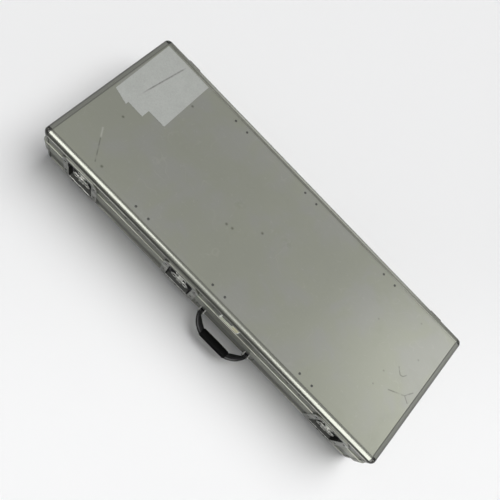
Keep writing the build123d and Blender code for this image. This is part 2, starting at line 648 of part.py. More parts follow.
def hinge_leaf(place, upper):
    """A stepped leaf with its knuckles and stop tabs; the base's outer knuckles hold the pin."""
    away = 1 if upper else -1
    on_closure = CLOSURE_FACE + HINGE_SHEET / 2
    on_panel = PANEL_FACE + HINGE_SHEET / 2
    ledge = (LID_CLOSURE if upper else BASE_CLOSURE) + HINGE_SHEET / 2
    path = [(on_closure, SEAM_GAP), (on_closure, ledge), (on_panel, ledge + CLOSURE_SLOT),
            (on_panel, LID_LEAF if upper else BASE_LEAF)]
    strap = trace(Polyline(*[(y, away * z) for y, z in path]), HINGE_SHEET)
    leaf = Pos(-HINGE_WIDTH / 2, 0, 0) * extrude(Plane.YZ * strap.face(), HINGE_WIDTH)
    third = KNUCKLE_LENGTH / 2
    side, notch = third + HINGE_GAP / 2, KNUCKLE_RADIUS + HINGE_GAP
    spans = [(-third, third)] if upper else [(-HINGE_WIDTH / 2, -side), (side, HINGE_WIDTH / 2)]
    others = [(-HINGE_WIDTH / 2, -third), (third, HINGE_WIDTH / 2)] if upper else [(-side, side)]

    def roll(radius, x):
        return Pos((x[0] + x[1]) / 2, HINGE_AXIS, 0) * Rot(0, 90, 0) * Cylinder(radius, x[1] - x[0])

    def knuckle(x):
        curl = Plane.YZ * (Pos(HINGE_AXIS, 0) * RegularPolygon(KNUCKLE_RADIUS, KNUCKLE_SIDES))
        return Pos(x[0], 0, 0) * extrude(curl, x[1] - x[0])

    def tab(angle, x, root):
        flap = slab(x, (-STOP_SHEET / 2, STOP_SHEET / 2), (root, STOP_REACH))
        return Pos(0, HINGE_AXIS, 0) * Rot(-angle, 0, 0) * flap

    for x in others:
        leaf -= slab(x, (0, HINGE_AXIS + KNUCKLE_RADIUS), (-notch, notch))
    for x in spans:
        leaf += knuckle(x)
        leaf += tab(LID_STOP_ANGLE if upper else BASE_STOP_ANGLE, x, (HINGE_PIN + KNUCKLE_RADIUS) / 2)
    if upper:
        leaf += tab(LID_STOP_ANGLE, (-KNUCKLE_LENGTH, KNUCKLE_LENGTH), notch)
        leaf -= roll(HINGE_PIN + RUNNING_GAP, spans[0])
    else:
        leaf += roll(HINGE_PIN, (-HINGE_WIDTH / 2, HINGE_WIDTH / 2))
    return Pos(place, 0, SEAM_HEIGHT) * leaf


# Feet for standing the case on its hinge side
def foot(x, z):
    """A rubber block with bevelled rims, standing out from the back panel."""
    half = FOOT_LENGTH / 2
    block = slab((x - half, x + half), (PANEL_FACE, PANEL_FACE + FOOT_HEIGHT),
                 (z - FOOT_WIDTH / 2, z + FOOT_WIDTH / 2))
    return chamfer(block.faces().sort_by(Axis.Y)[-1].edges(), FOOT_BEVEL)


# Foam
def guitar_cavity():
    """Body, neck and head recess seen from above, as one outline with rounded inside corners."""
    end = CASE_LENGTH / 2 - PROFILE_DEPTH - CAVITY_END
    lower, upper = LOWER_BOUT / 2, UPPER_BOUT / 2
    neck_start = end - BODY_LENGTH
    head_end = -end
    outline = Pos(end - lower, 0) * Circle(lower)
    outline += Pos(neck_start + upper, 0) * Circle(upper)
    outline = round_inside(outline, WAIST_RADIUS)
    outline += Pos((head_end + neck_start + upper) / 2, 0) * Rectangle(
        neck_start + upper - head_end, NECK_WIDTH)
    outline += Pos(head_end + HEAD_LENGTH / 2, 0) * RectangleRounded(
        HEAD_LENGTH, HEAD_WIDTH, HEAD_RADIUS)
    return round_inside(outline, NECK_RADIUS)


def round_inside(outline, radius):
    """Round the inside corners of an outline by growing and shrinking it again."""
    return offset(offset(outline, radius), -radius)


def base_foam():
    """Foam bed with the guitar's recess, a pocket beside the neck and room for the latch dishes."""
    x = CASE_LENGTH / 2 - PROFILE_DEPTH - SOFT_GAP
    y = CASE_WIDTH / 2 - PROFILE_DEPTH - SOFT_GAP
    low, top = SLOT_END + SOFT_GAP, SEAM_HEIGHT - FOAM_DROP
    clear = PROFILE_DEPTH + SOFT_GAP
    foam = slab((-x, x), (-y, y), (low, top))
    foam -= (slab((-x, x), (-y, y), (low, clear)) - flat_panel(low, clear, EDGE_FLANGE + SOFT_GAP))
    floor = low + FOAM_FLOOR
    outline = guitar_cavity()
    foam -= Pos(0, 0, floor) * extrude(outline, top - floor)
    pocket_y = (NECK_WIDTH / 2 + POCKET_WALL, NECK_WIDTH / 2 + POCKET_WALL + POCKET_WIDTH)
    pocket_x = CASE_LENGTH / 2 - PROFILE_DEPTH - CAVITY_END - BODY_LENGTH - 2 * POCKET_WALL
    pocket = slab((pocket_x - POCKET_LENGTH, pocket_x), pocket_y, (floor, top))
    foam -= fillet(pocket.edges().filter_by(Axis.Z), POCKET_RADIUS)
    for place in LATCH_PLACES.values():
        half = DISH_WIDTH / 2 + DISH_WALL + CUT_GAP
        foam -= slab((place - half, place + half), (-y - BEYOND, -DISH_FLOOR + DISH_WALL + CUT_GAP),
                     (DISH_LOW - DISH_WALL - CUT_GAP, top + BEYOND))
    return foam


def lid_foam():
    """Flat pad under the lid's stiffeners, cut back where the latch dishes come through."""
    x = CASE_LENGTH / 2 - PROFILE_DEPTH - SOFT_GAP
    y = CASE_WIDTH / 2 - STRAP_DEPTH - SOFT_GAP
    top = CASE_HEIGHT - STRAP_DEPTH - SOFT_GAP
    pad = slab((-x, x), (-y, y), (top - LID_PAD, top))
    for place in LATCH_PLACES.values():
        half = DISH_WIDTH / 2 + DISH_WALL + CUT_GAP
        pad -= slab((place - half, place + half), (-y - BEYOND, -DISH_FLOOR + DISH_WALL + CUT_GAP),
                    (0, DISH_LOW + DISH_HEIGHT + DISH_WALL + CUT_GAP))
    return pad


def make_lid():
    front, back, ends = lid_edges()
    save("lid_front_edge", front)
    save("lid_back_edge", back)
    save("lid_end_edges", ends)
    save("lid_corner_posts", corner_posts(LID_CLOSURE_TOP, CASE_HEIGHT - EDGE_FLANGE))
    save("lid_corner_caps", lid_caps())
    front, back, ends = closure_ring(lid_closure_section())
    save("lid_front_closure", front)
    save("lid_back_closure", back)
    save("lid_end_closures", ends)
    save("lid_closure_corners", closure_corners(SEAM_HEIGHT + BRACKET_INSET, LID_CLOSURE_TOP - BRACKET_INSET))

    save("lid_top_panel", flat_panel(CASE_HEIGHT - SLOT_END, CASE_HEIGHT - EDGE_WALL,
                                     EDGE_CORE + PANEL_GAP))
    front, back, ends = side_panels(SEAM_HEIGHT + CLOSURE_WEB + PANEL_GAP,
                                    CASE_HEIGHT - EDGE_CORE - PANEL_GAP)
    save("lid_front_panel", front)
    save("lid_back_panel", back)
    save("lid_end_panels", ends)
    save("lid_stiffeners", [stiffener(place) for place in STIFFENER_PLACES])

    rivets = stiffener_rivets()
    for place in LATCH_PLACES.values():
        rivets += latch_rivets(place, True)
    for place in HINGE_PLACES:
        rivets += hinge_rivets(place, True)
    save("lid_rivets", rivets)
    save("lid_hinge_leaves", [hinge_leaf(place, True) for place in HINGE_PLACES])
    z = (LID_CLOSURE_TOP + CASE_HEIGHT - EDGE_FLANGE) / 2
    save("lid_feet", [foot(place, z) for place in FOOT_PLACES])
    save("lid_foam_pad", lid_foam())
    half = LABEL_WIDTH / 2
    save("lid_blank_label", slab((LABEL_PLACE - half, LABEL_PLACE + half),
                                 (-PANEL_FACE - LABEL_SHEET, -PANEL_FACE),
                                 (LID_CLOSURE_TOP, CASE_HEIGHT - EDGE_FLANGE)))


def make_base():
    front, back, ends = lid_edges()
    save("base_front_edge", turned_to_base(front))
    save("base_back_edge", turned_to_base(back))
    save("base_end_edges", [turned_to_base(piece) for piece in ends])
    save("base_corner_posts", corner_posts(EDGE_FLANGE, BASE_CLOSURE_LOW))
    save("base_corner_caps", [turned_to_base(piece) for piece in lid_caps()])
    front, back, ends = closure_ring(base_closure_section())
    save("base_front_closure", front)
    save("base_back_closure", back)
    save("base_end_closures", ends)
    save("base_closure_corners", closure_corners(BASE_CLOSURE_LOW + BRACKET_INSET,
                                                 SEAM_HEIGHT - BRACKET_INSET))
    front, back, ends = closure_ring(seal_section())
    save("base_seal", [front, back] + ends)

    bottom = flat_panel(EDGE_WALL, SLOT_END, EDGE_CORE + PANEL_GAP)
    bottom += flat_panel(0, EDGE_WALL, EDGE_FLANGE + PANEL_GAP)
    save("base_bottom_panel", bottom)
    web = CLOSURE_WEB + TONGUE_DEPTH
    front, back, ends = side_panels(EDGE_CORE + PANEL_GAP, SEAM_HEIGHT - web - PANEL_GAP)
    save("base_front_panel", front)
    save("base_back_panel", back)
    save("base_end_panels", ends)

    rivets = handle_rivets()
    for place in LATCH_PLACES.values():
        rivets += latch_rivets(place, False)
    for place in HINGE_PLACES:
        rivets += hinge_rivets(place, False)
    save("base_rivets", rivets)
    save("base_hinge_leaves", [hinge_leaf(place, False) for place in HINGE_PLACES])
    z = (BASE_CLOSURE_LOW + EDGE_FLANGE) / 2
    save("base_feet", [foot(place, z) for place in FOOT_PLACES])
    save("base_foam_block", base_foam())
    save("handle_brackets", [handle_bracket(-1), handle_bracket(1)])
    save("handle_bow", handle_bow())
    save("handle_grip", handle_grip())


def make_latches():
    for name, place in LATCH_PLACES.items():
        save(f"latch_{name}_dish", latch_dish(place))
        save(f"latch_{name}_keeper", latch_keeper(place))
        save(f"latch_{name}_rotor", latch_rotor(place))
        save(f"latch_{name}_left_wing", latch_wing(place, -1))
        save(f"latch_{name}_right_wing", latch_wing(place, 1))
        save(f"latch_{name}_hook", latch_hook(place))


os.makedirs("parts", exist_ok=True)
make_lid()
make_base()
make_latches()
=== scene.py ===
"""Looks of the electric guitar's flight case: finishes, dressed pieces, studio and camera.

Metres, in the frame of the CAD model: X along the case, -Y the latch side, +Z up.
"""
import json
from functools import reduce
from math import atan2, copysign, cos, hypot, pi, radians, sin

import bmesh
import bpy
from mathutils import Matrix, Vector, noise

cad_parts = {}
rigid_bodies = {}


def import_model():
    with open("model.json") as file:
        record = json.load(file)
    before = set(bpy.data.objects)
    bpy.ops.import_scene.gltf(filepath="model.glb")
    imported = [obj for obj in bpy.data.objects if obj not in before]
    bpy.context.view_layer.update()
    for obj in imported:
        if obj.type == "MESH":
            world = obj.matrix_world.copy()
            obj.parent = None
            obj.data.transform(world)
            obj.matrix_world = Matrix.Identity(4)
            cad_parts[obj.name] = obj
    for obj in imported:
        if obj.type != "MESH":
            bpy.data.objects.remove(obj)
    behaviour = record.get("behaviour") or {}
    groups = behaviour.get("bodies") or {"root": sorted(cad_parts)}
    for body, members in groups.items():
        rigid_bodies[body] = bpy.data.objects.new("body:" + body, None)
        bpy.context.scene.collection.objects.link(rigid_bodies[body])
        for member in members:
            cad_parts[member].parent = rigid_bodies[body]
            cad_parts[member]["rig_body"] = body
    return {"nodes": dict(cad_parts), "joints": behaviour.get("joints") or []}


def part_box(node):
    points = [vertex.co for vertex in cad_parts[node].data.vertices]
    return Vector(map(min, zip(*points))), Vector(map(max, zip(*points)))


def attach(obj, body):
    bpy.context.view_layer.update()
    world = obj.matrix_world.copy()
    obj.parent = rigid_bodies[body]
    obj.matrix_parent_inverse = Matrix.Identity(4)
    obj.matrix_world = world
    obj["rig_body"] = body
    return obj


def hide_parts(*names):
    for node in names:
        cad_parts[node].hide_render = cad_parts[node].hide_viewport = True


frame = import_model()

X, Y, Z = range(3)
SAME_PLACE = 1e-6
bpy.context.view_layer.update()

# Sizes of the case, read from the frame
HALF_LENGTH, HALF_WIDTH, LID_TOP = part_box("lid_corner_caps")[1]
LID_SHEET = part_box("lid_top_panel")[1].z
FLANGE = HALF_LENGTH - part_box("lid_front_edge")[1].x
WALL = LID_TOP - LID_SHEET
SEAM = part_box("lid_front_closure")[0].z

# Edge profiles and corner caps
EDGE_RADIUS = 0.012
ROUNDNESS = 2.4
EDGE_SLOT = 0.004
EDGE_CORE = 0.009
LINE_PLACES = (0.0026, 0.0046)
LINE_WIDTH = 0.0008
LINE_DEPTH = 0.0004
JOINT_GAP = 0.0002
ARC_STEPS = 14
BAR_STEPS = 12
CAP_STEPS = 16
CORNER_CUTS = 6

# Opening of a latch's dish, width and height, and where the shade painted dark inside it starts
OPENING = (0.076, 0.086)
OPENING_MARGIN = 0.0006
DISH_SHADE_DEPTH = 0.0012

# Rivet heads: (share of the radius, share of the height), from the rim to the broken stem
DOME = ((1.0, 0.0), (1.0, 0.22), (0.93, 0.50), (0.76, 0.78), (0.52, 0.94), (0.34, 1.0), (0.27, 0.98),
        (0.24, 0.80), (0.10, 0.74))
DOME_SIDES = 20

# Handle
HANDLE_PIVOT = Vector(next(joint["pos_m"] for joint in frame["joints"]
                           if joint["name"] == "handle_swing"))
GRIP_LOW, GRIP_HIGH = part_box("handle_grip")
GRIP_LENGTH, GRIP_DEPTH, GRIP_THICK = GRIP_HIGH - GRIP_LOW
GRIP_HALF = GRIP_LENGTH / 2
GRIP_REACH = HANDLE_PIVOT.y - (GRIP_LOW.y + GRIP_HIGH.y) / 2
GRIP_SQUARENESS = 2.7
GRIP_SWELL = 0.035
GRIP_ENDS = ((0.0, 0.80), (0.0004, 0.87), (0.0012, 0.945), (0.0024, 0.985), (0.0042, 1.0))
GRIP_STEPS = 12
GRIP_SIDES = 40
SLEEVE = 0.002
EYE_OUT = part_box("handle_bow")[1].x - HANDLE_PIVOT.x
EYE_RADIUS = 0.006
EYE_IN = EYE_OUT - 2 * EYE_RADIUS
EYE_RIM = 0.0012
EYE_SIDES = 32
ARM_STRAIGHT = 0.0075
ARM_SQUARENESS = 2.3
ARM_STEPS = 16
ARM_SIDES = 36
OUTER_BEND = (0.33, 0.56)
INNER_BEND = (0.46, 0.47)

# Tape: name, then left and right back corners, left and right front corners
TAPE_STRIPS = (
    ("left", (-0.5201, 0.1806), (-0.4740, 0.1806), (-0.5150, -0.0009), (-0.4699, -0.0116)),
    ("middle", (-0.4744, 0.1806), (-0.4272, 0.1806), (-0.4703, -0.0034), (-0.4224, -0.0043)),
    ("right", (-0.4276, 0.1806), (-0.3777, 0.1802), (-0.4228, 0.0179), (-0.3709, 0.0177)))
# the crease: start, end and width of its painted shade
TAPE_CREASE = ((-0.4501, 0.1732), (-0.4668, 0.0343), 0.0032)
TAPE_LIFT = 0.0001
TAPE_RIPPLE, TAPE_RIPPLE_SCALE = 0.00012, 70
TAPE_LAYER = 0.00003
TAPE_TEAR, TAPE_TEAR_SCALE = 0.0016, 260
TAPE_THICK = 0.0002
TAPE_CELLS = (14, 60)

# Blank card; the shares say how far right and how high the tear leaves it
CARD_MARGIN = 0.0004
CARD_THICK = 0.00035
CARD_COLUMNS = 48
CARD_TEAR = (0.62, 0.52)
CARD_LEFT_STRIP = 0.004
CARD_JAG, CARD_JAG_SCALE = 0.0012, 420

# Foam
FOAM_VOXEL = 0.005
FOAM_SMOOTHING = (0.5, 6)  # factor, times
NAP_DEPTH = 0.0006
NAP_WAVES = ((0.3, 24), (0.2, 110))  # strength, scale

# Marks on the lid's top sheet, as (x, y) places
LID_SCRATCHES = (  # start, end, width
    ((-0.4441, -0.1140), (-0.4080, -0.1640), 0.0026), ((0.4568, -0.0400), (0.4979, -0.0212), 0.0026),
    ((0.4979, -0.0212), (0.5107, -0.0005), 0.0024), ((0.4979, -0.0212), (0.5142, -0.0302), 0.0022),
    ((0.4437, 0.0219), (0.4576, 0.0088), 0.0022), ((0.4576, 0.0088), (0.4657, 0.0106), 0.0020),
    ((0.4657, 0.0106), (0.4717, 0.0207), 0.0020))
LID_SCRAPE = ((-0.4578, -0.0945), (-0.4438, -0.1140), 0.0036)
LID_DINGS = (  # place, radius, strength
    ((-0.4501, -0.0396), 0.0024, 1.0), ((-0.3901, -0.1615), 0.0026, 1.0),
    ((-0.0240, 0.0081), 0.0026, 1.0), ((-0.0998, -0.0413), 0.0026, 1.0),
    ((-0.0829, -0.0385), 0.0026, 1.0), ((-0.3669, 0.1108), 0.0026, 1.0),
    ((0.4721, 0.0719), 0.0018, 0.5), ((0.4185, -0.0143), 0.0018, 0.5),
    ((0.4171, -0.0574), 0.0018, 0.5), ((0.4217, 0.1494), 0.0018, 0.5),
    ((0.3286, 0.0728), 0.0018, 0.5))
LID_SMUDGES = (((0.0369, 0.0349), 0.012), ((-0.1121, 0.0207), 0.010))  # place, radius

# Bands of other tones, painted shade and painted highlight but for the end flange's dark joint line:
# axis, distance from the middle plane or the floor, width, share of the tone
# painted shade: dark bands under the rolls of the edge profiles
PAINTED_SHADE_UNDER_ROLL = (Z, LID_TOP - 0.0092, 0.0074, 0.22)
PAINTED_SHADE_UNDER_END_ROLL = (Z, LID_TOP - 0.0055, 0.0070, 0.38)
# painted highlight: a light line along the lid profiles' lip
PAINTED_LIP_HIGHLIGHT = (Z, LID_TOP - 0.0155, 0.0030, 1.1)
# painted shade: the profiles darker near the floor
PAINTED_SHADE_NEAR_FLOOR = (Z, 0.005, 0.012, 0.5)
END_FLANGE_LINE = (X, HALF_LENGTH - FLANGE + 0.0008, 0.0018, 0.55)
# painted highlight: a lighter band along the closure seam
PAINTED_SEAM_HIGHLIGHT = (Z, SEAM, 0.006, 1.15)
# painted shade: a darker upper strip on the latch plates
PAINTED_SHADE_ON_PLATE_HEAD = (Z, 0.125, 0.016, 0.45)
BAND_SOFTNESS = 0.0014
BAND_COVER = 0.9

# Lights
KEY_ENERGY = 2.58
KEY_ANGLE = radians(52)
KEY_FROM = Vector((0.30, 0.50, 0.85))
SKY_COLOUR = (0.98, 0.985, 1.0, 1)
SKY_STRENGTH = 0.31
SKY_IN_METAL = {"From Min": 0.05, "From Max": 0.55, "To Min": 0.40, "To Max": 1.0}
SOFTBOXES = (  # name, place, aim, size, watts
    ("right softbox", (1.75, 1.0, 2.05), (0.4, 0, 0.1), (1.3, 1.5), 12),
    ("left front softbox", (-0.97, -1.2, 1.88), (-0.4, -0.2, 0.15), (1.15, 1.65), 34),
    ("middle front softbox", (0.1, -1.1, 1.7), (0.1, -0.2, 0.15), (0.8, 1.4), 5),
    ("right front softbox", (1.15, -1.3, 1.05), (0.4, -0.2, 0.15), (1.1, 1.9), 36),
    ("back softbox", (0.1, 2.6, 1.4), (0.1, 0.2, 0.15), (2.4, 1.3), 21))
FLOOR_SIZE = 8

# Camera, fitted to the outline of the rounded case in the photograph
CAMERA_PLACE = Vector((-0.0553, -0.5094, 1.3487))
LOOK = Vector((0.03038, 0.36088, -0.93212))
CAMERA_ROLL = radians(50.27)
LENS = 39.03
SENSOR = 36


class Wire:
    """A value in a node tree, with arithmetic that adds Math nodes."""

    def __init__(self, nodes, socket):
        self.nodes, self.socket = nodes, socket

    def math(self, operation, *values):
        return self.nodes.node("ShaderNodeMath", {"operation": operation}, dict(enumerate(values)))

    def __add__(self, other):
        return self.math("ADD", self, other)

    def __sub__(self, other):
        return self.math("SUBTRACT", self, other)

    def __rsub__(self, other):
        return self.math("SUBTRACT", other, self)

    def __mul__(self, other):
        return self.math("MULTIPLY", self, other)

    __radd__, __rmul__ = __add__, __mul__

    def above(self, edge, width):
        """0 below an edge and 1 above it, softened over a width."""
        return self.nodes.node("ShaderNodeMapRange", {"interpolation_type": "SMOOTHSTEP"}, {
            "Value": self, "From Min": edge - width / 2, "From Max": edge + width / 2})

    def below(self, edge, width):
        return 1 - self.above(edge, width)

    def larger(self, other):
        return self.math("MAXIMUM", self, other)

    def size(self):
        return self.math("ABSOLUTE", self)


class Nodes:
    """A node tree in the making."""

    def __init__(self, tree):
        self.tree = tree
        tree.nodes.clear()

    def node(self, kind, settings=None, inputs=None, output=0):
        """A node of any kind: its settings first, then its inputs. Gives one of its outputs."""
        made = self.tree.nodes.new(kind)
        for name, value in (settings or {}).items():
            setattr(made, name, value)
        for name, value in (inputs or {}).items():
            if isinstance(value, Wire):
                self.tree.links.new(value.socket, made.inputs[name])
            else:
                made.inputs[name].default_value = value
        return Wire(self, made.outputs[output]) if len(made.outputs) else None


class Finish(Nodes):
    """A material in the making. Points are places on the object, in metres."""

    def __init__(self, name):
        self.material = bpy.data.materials.new(name)
        self.material.use_nodes = True
        super().__init__(self.material.node_tree)

    def point(self):
        return self.node("ShaderNodeTexCoord", output="Object")

    def vector(self, operation, *values, output=0):
        settings = {"operation": operation}
        return self.node("ShaderNodeVectorMath", settings, dict(enumerate(values)), output)

    def along(self, axis):
        return self.node("ShaderNodeSeparateXYZ", inputs={0: self.point()}, output=axis)

    def grain(self, scale, detail=3.0, roughness=0.5, at=None, distortion=0.0):
        """Noise from 0 to 1, about 0.5."""
        return self.node("ShaderNodeTexNoise", inputs={
            "Vector": at or self.point(), "Scale": scale, "Detail": detail,
            "Roughness": roughness, "Distortion": distortion})

    def streaks(self, axis, length=0.03, width=0.0006):
        """Fine brushed or drawn grain that runs along one axis."""
        scale = tuple(1 / length if i == axis else 1 / width for i in range(3))
        return self.grain(1.0, 2.0, 0.6, at=self.vector("MULTIPLY", self.point(), scale))

    def hairlines(self, scale, fineness, cover):
        """1 on thin wandering scratches, kept only where a second noise allows them."""
        line = (self.grain(scale, 2.0, 0.5) - 0.5).size().below(fineness, fineness)
        return line * self.grain(scale * 1.7, 1.0, 0.5).above(cover, 0.08)

    def segment(self, start, end, width):
        """1 on a straight scratch in the XY plane, fading to 0 over its width."""
        span = Vector((end[0] - start[0], end[1] - start[1], 0))
        flat = self.vector("MULTIPLY", self.point(), (1, 1, 0))
        away = self.vector("SUBTRACT", flat, (start[0], start[1], 0))
        share = self.vector("DOT_PRODUCT", away, tuple(span / span.length_squared), output="Value")
        share = self.node("ShaderNodeClamp", inputs={"Value": share})
        foot = self.node("ShaderNodeVectorMath", {"operation": "SCALE"},
                         {0: tuple(span), "Scale": share})
        gap = self.vector("LENGTH", self.vector("SUBTRACT", away, foot), output="Value")
        return gap.below(width / 2, width)

    def spot(self, place, radius):
        """1 inside a round mark in the XY plane."""
        return self.segment(place, (place[0] + 0.001, place[1]), 2 * radius)

    def mixed(self, amount, first, second):
        """From the first colour to the second as the amount goes from 0 to 1."""
        return self.node("ShaderNodeMix", {"data_type": "RGBA"}, {0: amount, 6: first, 7: second}, 2)

    def banded(self, colour, tone, bands):
        """Bands along the case that are darker or lighter than the tone: painted shade, painted
        highlight and dark joint lines.
        """
        for axis, middle, width, share in bands:
            gap = (self.along(axis).size() - middle).size()
            cover = gap.below(width / 2, BAND_SOFTNESS) * BAND_COVER
            colour = self.mixed(cover, colour, grey(tone * share, 0.08))
        return colour

    def bumped(self, height, strength, distance):
        return self.node("ShaderNodeBump", inputs={
            "Strength": strength, "Distance": distance, "Height": height})

    def surface(self, colour, roughness, metallic=0.0, normal=None, **constants):
        """Close the finish with one Principled shader; constants go on its own sockets."""
        inputs = {"Base Color": colour, "Roughness": roughness, "Metallic": metallic}
        if normal:
            inputs["Normal"] = normal
        inputs.update({name.replace("_", " ").title().replace("Ior", "IOR"): value
                       for name, value in constants.items()})
        shader = self.node("ShaderNodeBsdfPrincipled", inputs=inputs)
        self.node("ShaderNodeOutputMaterial", inputs={"Surface": shader})
        return self.material


def grey(value, warm=0.0):
    """A grey as a colour; warm takes it towards the olive of aged aluminium."""
    return (value * (1 - 0.3 * warm), value, value * (1 - 1.6 * warm), 1)


# Finishes
def sheet_finish(name, tone=1.0, marked=False):
    """Dull brushed sheet with cloudy handling marks; the lid's top has its own scratches and dings. A
    tone below 1 is painted shade.
    """
    finish = Finish(name)
    clouds = finish.grain(3.5, 4.0, 0.6)
    blotches = finish.grain(19.0, 5.0, 0.65, distortion=0.5).above(0.62, 0.2)
    brush = finish.streaks(X)
    hairs = finish.hairlines(9.0, 0.004, 0.56)
    rubs = finish.hairlines(48.0, 0.010, 0.60)
    specks = finish.grain(330.0, 2.0, 0.6).above(0.74, 0.04)
    specks = specks * finish.grain(24.0, 2.0, 0.6).above(0.54, 0.1)
    neutral = finish.grain(7.0, 3.0, 0.6, distortion=0.4).above(0.53, 0.2)
    colour = finish.mixed(clouds, grey(0.205 * tone, 0.08), grey(0.240 * tone, 0.12))
    colour = finish.mixed(neutral * 0.5, colour, grey(0.220 * tone))
    colour = finish.mixed(brush * 0.35, colour, grey(0.175 * tone, 0.10))
    colour = finish.mixed(blotches * 0.15, colour, grey(0.185 * tone, 0.14))
    colour = finish.mixed(hairs * 0.15, colour, grey(0.30 * tone, 0.08))
    colour = finish.mixed(rubs * 0.16, colour, grey(0.32 * tone, 0.05))
    colour = finish.mixed(specks * 0.5, colour, grey(0.09 * tone, 0.2))
    roughness = 0.30 + clouds * 0.06 + blotches * 0.04
    height = brush * 0.25 - hairs * 0.4
    if marked:
        dings = reduce(Wire.larger, [finish.spot(place, radius) * strength
                                     for place, radius, strength in LID_DINGS])
        smudges = reduce(Wire.larger, [finish.spot(*smudge) for smudge in LID_SMUDGES])
        smudges = smudges * finish.grain(90.0, 3.0, 0.7).above(0.5, 0.2)
        scratches = reduce(Wire.larger, [finish.segment(*scratch) for scratch in LID_SCRATCHES])
        scratches = scratches * finish.grain(60.0, 3.0, 0.6).above(0.42, 0.3)
        colour = finish.mixed(dings * 0.75, colour, grey(0.06, 0.2))
        colour = finish.mixed(smudges * 0.30, colour, grey(0.13, 0.2))
        colour = finish.mixed(scratches * 0.75, colour, grey(0.10, 0.1))
        colour = finish.mixed(finish.segment(*LID_SCRAPE) * 0.38, colour, grey(0.42, 0.05))
        height = height - dings * 2.0 - scratches * 1.2
        roughness = roughness + smudges * 0.15
    normal = finish.bumped(height, 0.35, 0.0004)
    return finish.surface(colour, roughness, 0.75, normal)


def drawn_finish(name, axis, tone, roughness, metallic=0.9, bands=()):
    """Satin aluminium drawn through a die, with bands of other tones along it: painted shade, painted
    highlight and dark joint lines.
    """
    finish = Finish(name)
    draw = finish.streaks(axis, 0.12, 0.0013)
    dull = finish.grain(14.0, 4.0, 0.6)
    nicks = finish.grain(150.0, 3.0, 0.7).above(0.75, 0.05)
    colour = finish.mixed(draw, grey(tone * 0.90, 0.08), grey(tone, 0.08))
    colour = finish.mixed(dull.above(0.55, 0.3) * 0.2, colour, grey(tone * 0.75, 0.1))
    colour = finish.mixed(nicks * 0.5, colour, grey(tone * 0.5, 0.1))
    colour = finish.banded(colour, tone, bands)
    normal = finish.bumped(draw * 0.4 - nicks, 0.2, 0.0003)
    return finish.surface(colour, roughness + dull * 0.10 + nicks * 0.1, metallic, normal)


def bright_finish(name, tone, roughness, wear=0.5, bands=()):
    """Plated or polished metal with rubbed places, fine scratches and pits, and bands of painted shade.
    """
    finish = Finish(name)
    rubbed = finish.grain(26.0, 5.0, 0.65, distortion=0.4)
    lines = finish.hairlines(70.0, 0.012, 0.5)
    pits = finish.grain(420.0, 2.0, 0.6).above(0.72, 0.05)
    colour = finish.mixed(rubbed, grey(tone * 0.82, 0.04), grey(tone, 0.04))
    colour = finish.mixed(pits * wear, colour, grey(tone * 0.35, 0.1))
    colour = finish.mixed(lines * 0.3, colour, grey(tone * 1.2))
    colour = finish.banded(colour, tone, bands)
    normal = finish.bumped(rubbed * 0.4 - lines * 0.5 - pits, 0.25, 0.0003)
    return finish.surface(colour, roughness + rubbed * 0.14 + pits * 0.15, 1.0, normal)


def moulded_finish():
    """Glossy black moulding with a little orange peel, dust and scuffs."""
    finish = Finish("glossy black moulding")
    peel = finish.grain(380.0, 2.0, 0.5)
    dust = finish.grain(900.0, 2.0, 0.6).above(0.70, 0.08) * finish.grain(40.0, 3.0, 0.6)
    scuffs = finish.hairlines(90.0, 0.012, 0.5)
    colour = finish.mixed(dust * 0.12, (0.0035, 0.0035, 0.004, 1), (0.04, 0.04, 0.038, 1))
    colour = finish.mixed(scuffs * 0.2, colour, (0.025, 0.025, 0.025, 1))
    roughness = 0.20 + scuffs * 0.25 + dust * 0.2
    normal = finish.bumped(peel * 0.5 - scuffs, 0.12, 0.0002)
    return finish.surface(colour, roughness, 0.0, normal, specular_ior_level=0.16)


def grip_finish():
    """Black rubber sleeve with a fine leathery grain, its roughness uneven from handling."""
    finish = Finish("grained black rubber")
    cells = finish.node("ShaderNodeTexVoronoi", {"feature": "DISTANCE_TO_EDGE"},
                        {"Vector": finish.point(), "Scale": 620.0}, output="Distance")
    rubbed = finish.grain(35.0, 3.0, 0.5)
    colour = finish.mixed(rubbed, (0.0014, 0.0014, 0.0016, 1), (0.003, 0.003, 0.003, 1))
    normal = finish.bumped(cells.below(0.12, 0.2), 0.4, 0.0002)
    return finish.surface(colour, 0.46 + rubbed * 0.2, 0.0, normal, specular_ior_level=0.03)


def rubber_finish():
    """Matt black rubber with a moulded texture and grey dust."""
    finish = Finish("matt rubber")
    dust = finish.grain(70.0, 4.0, 0.6)
    texture = finish.grain(1500.0, 2.0, 0.6)
    colour = finish.mixed(dust.above(0.5, 0.3), (0.020, 0.020, 0.020, 1), (0.045, 0.044, 0.040, 1))
    return finish.surface(colour, 0.72 + dust * 0.15, 0.0, finish.bumped(texture, 0.3, 0.0003))


def plush_finish():
    """Short dark plush over foam: lay of the pile in patches, tufts and a soft sheen."""
    finish = Finish("dark plush")
    lay = finish.grain(9.0, 4.0, 0.6, distortion=0.8)
    tufts = finish.grain(900.0, 3.0, 0.7)
    colour = finish.mixed(lay, (0.016, 0.016, 0.019, 1), (0.040, 0.040, 0.046, 1))
    colour = finish.mixed(tufts * 0.5, colour, (0.010, 0.010, 0.012, 1))
    normal = finish.bumped(tufts + lay * 2.0, 0.6, 0.0008)
    return finish.surface(colour, 0.9, 0.0, normal, sheen_weight=0.35, sheen_roughness=0.4)


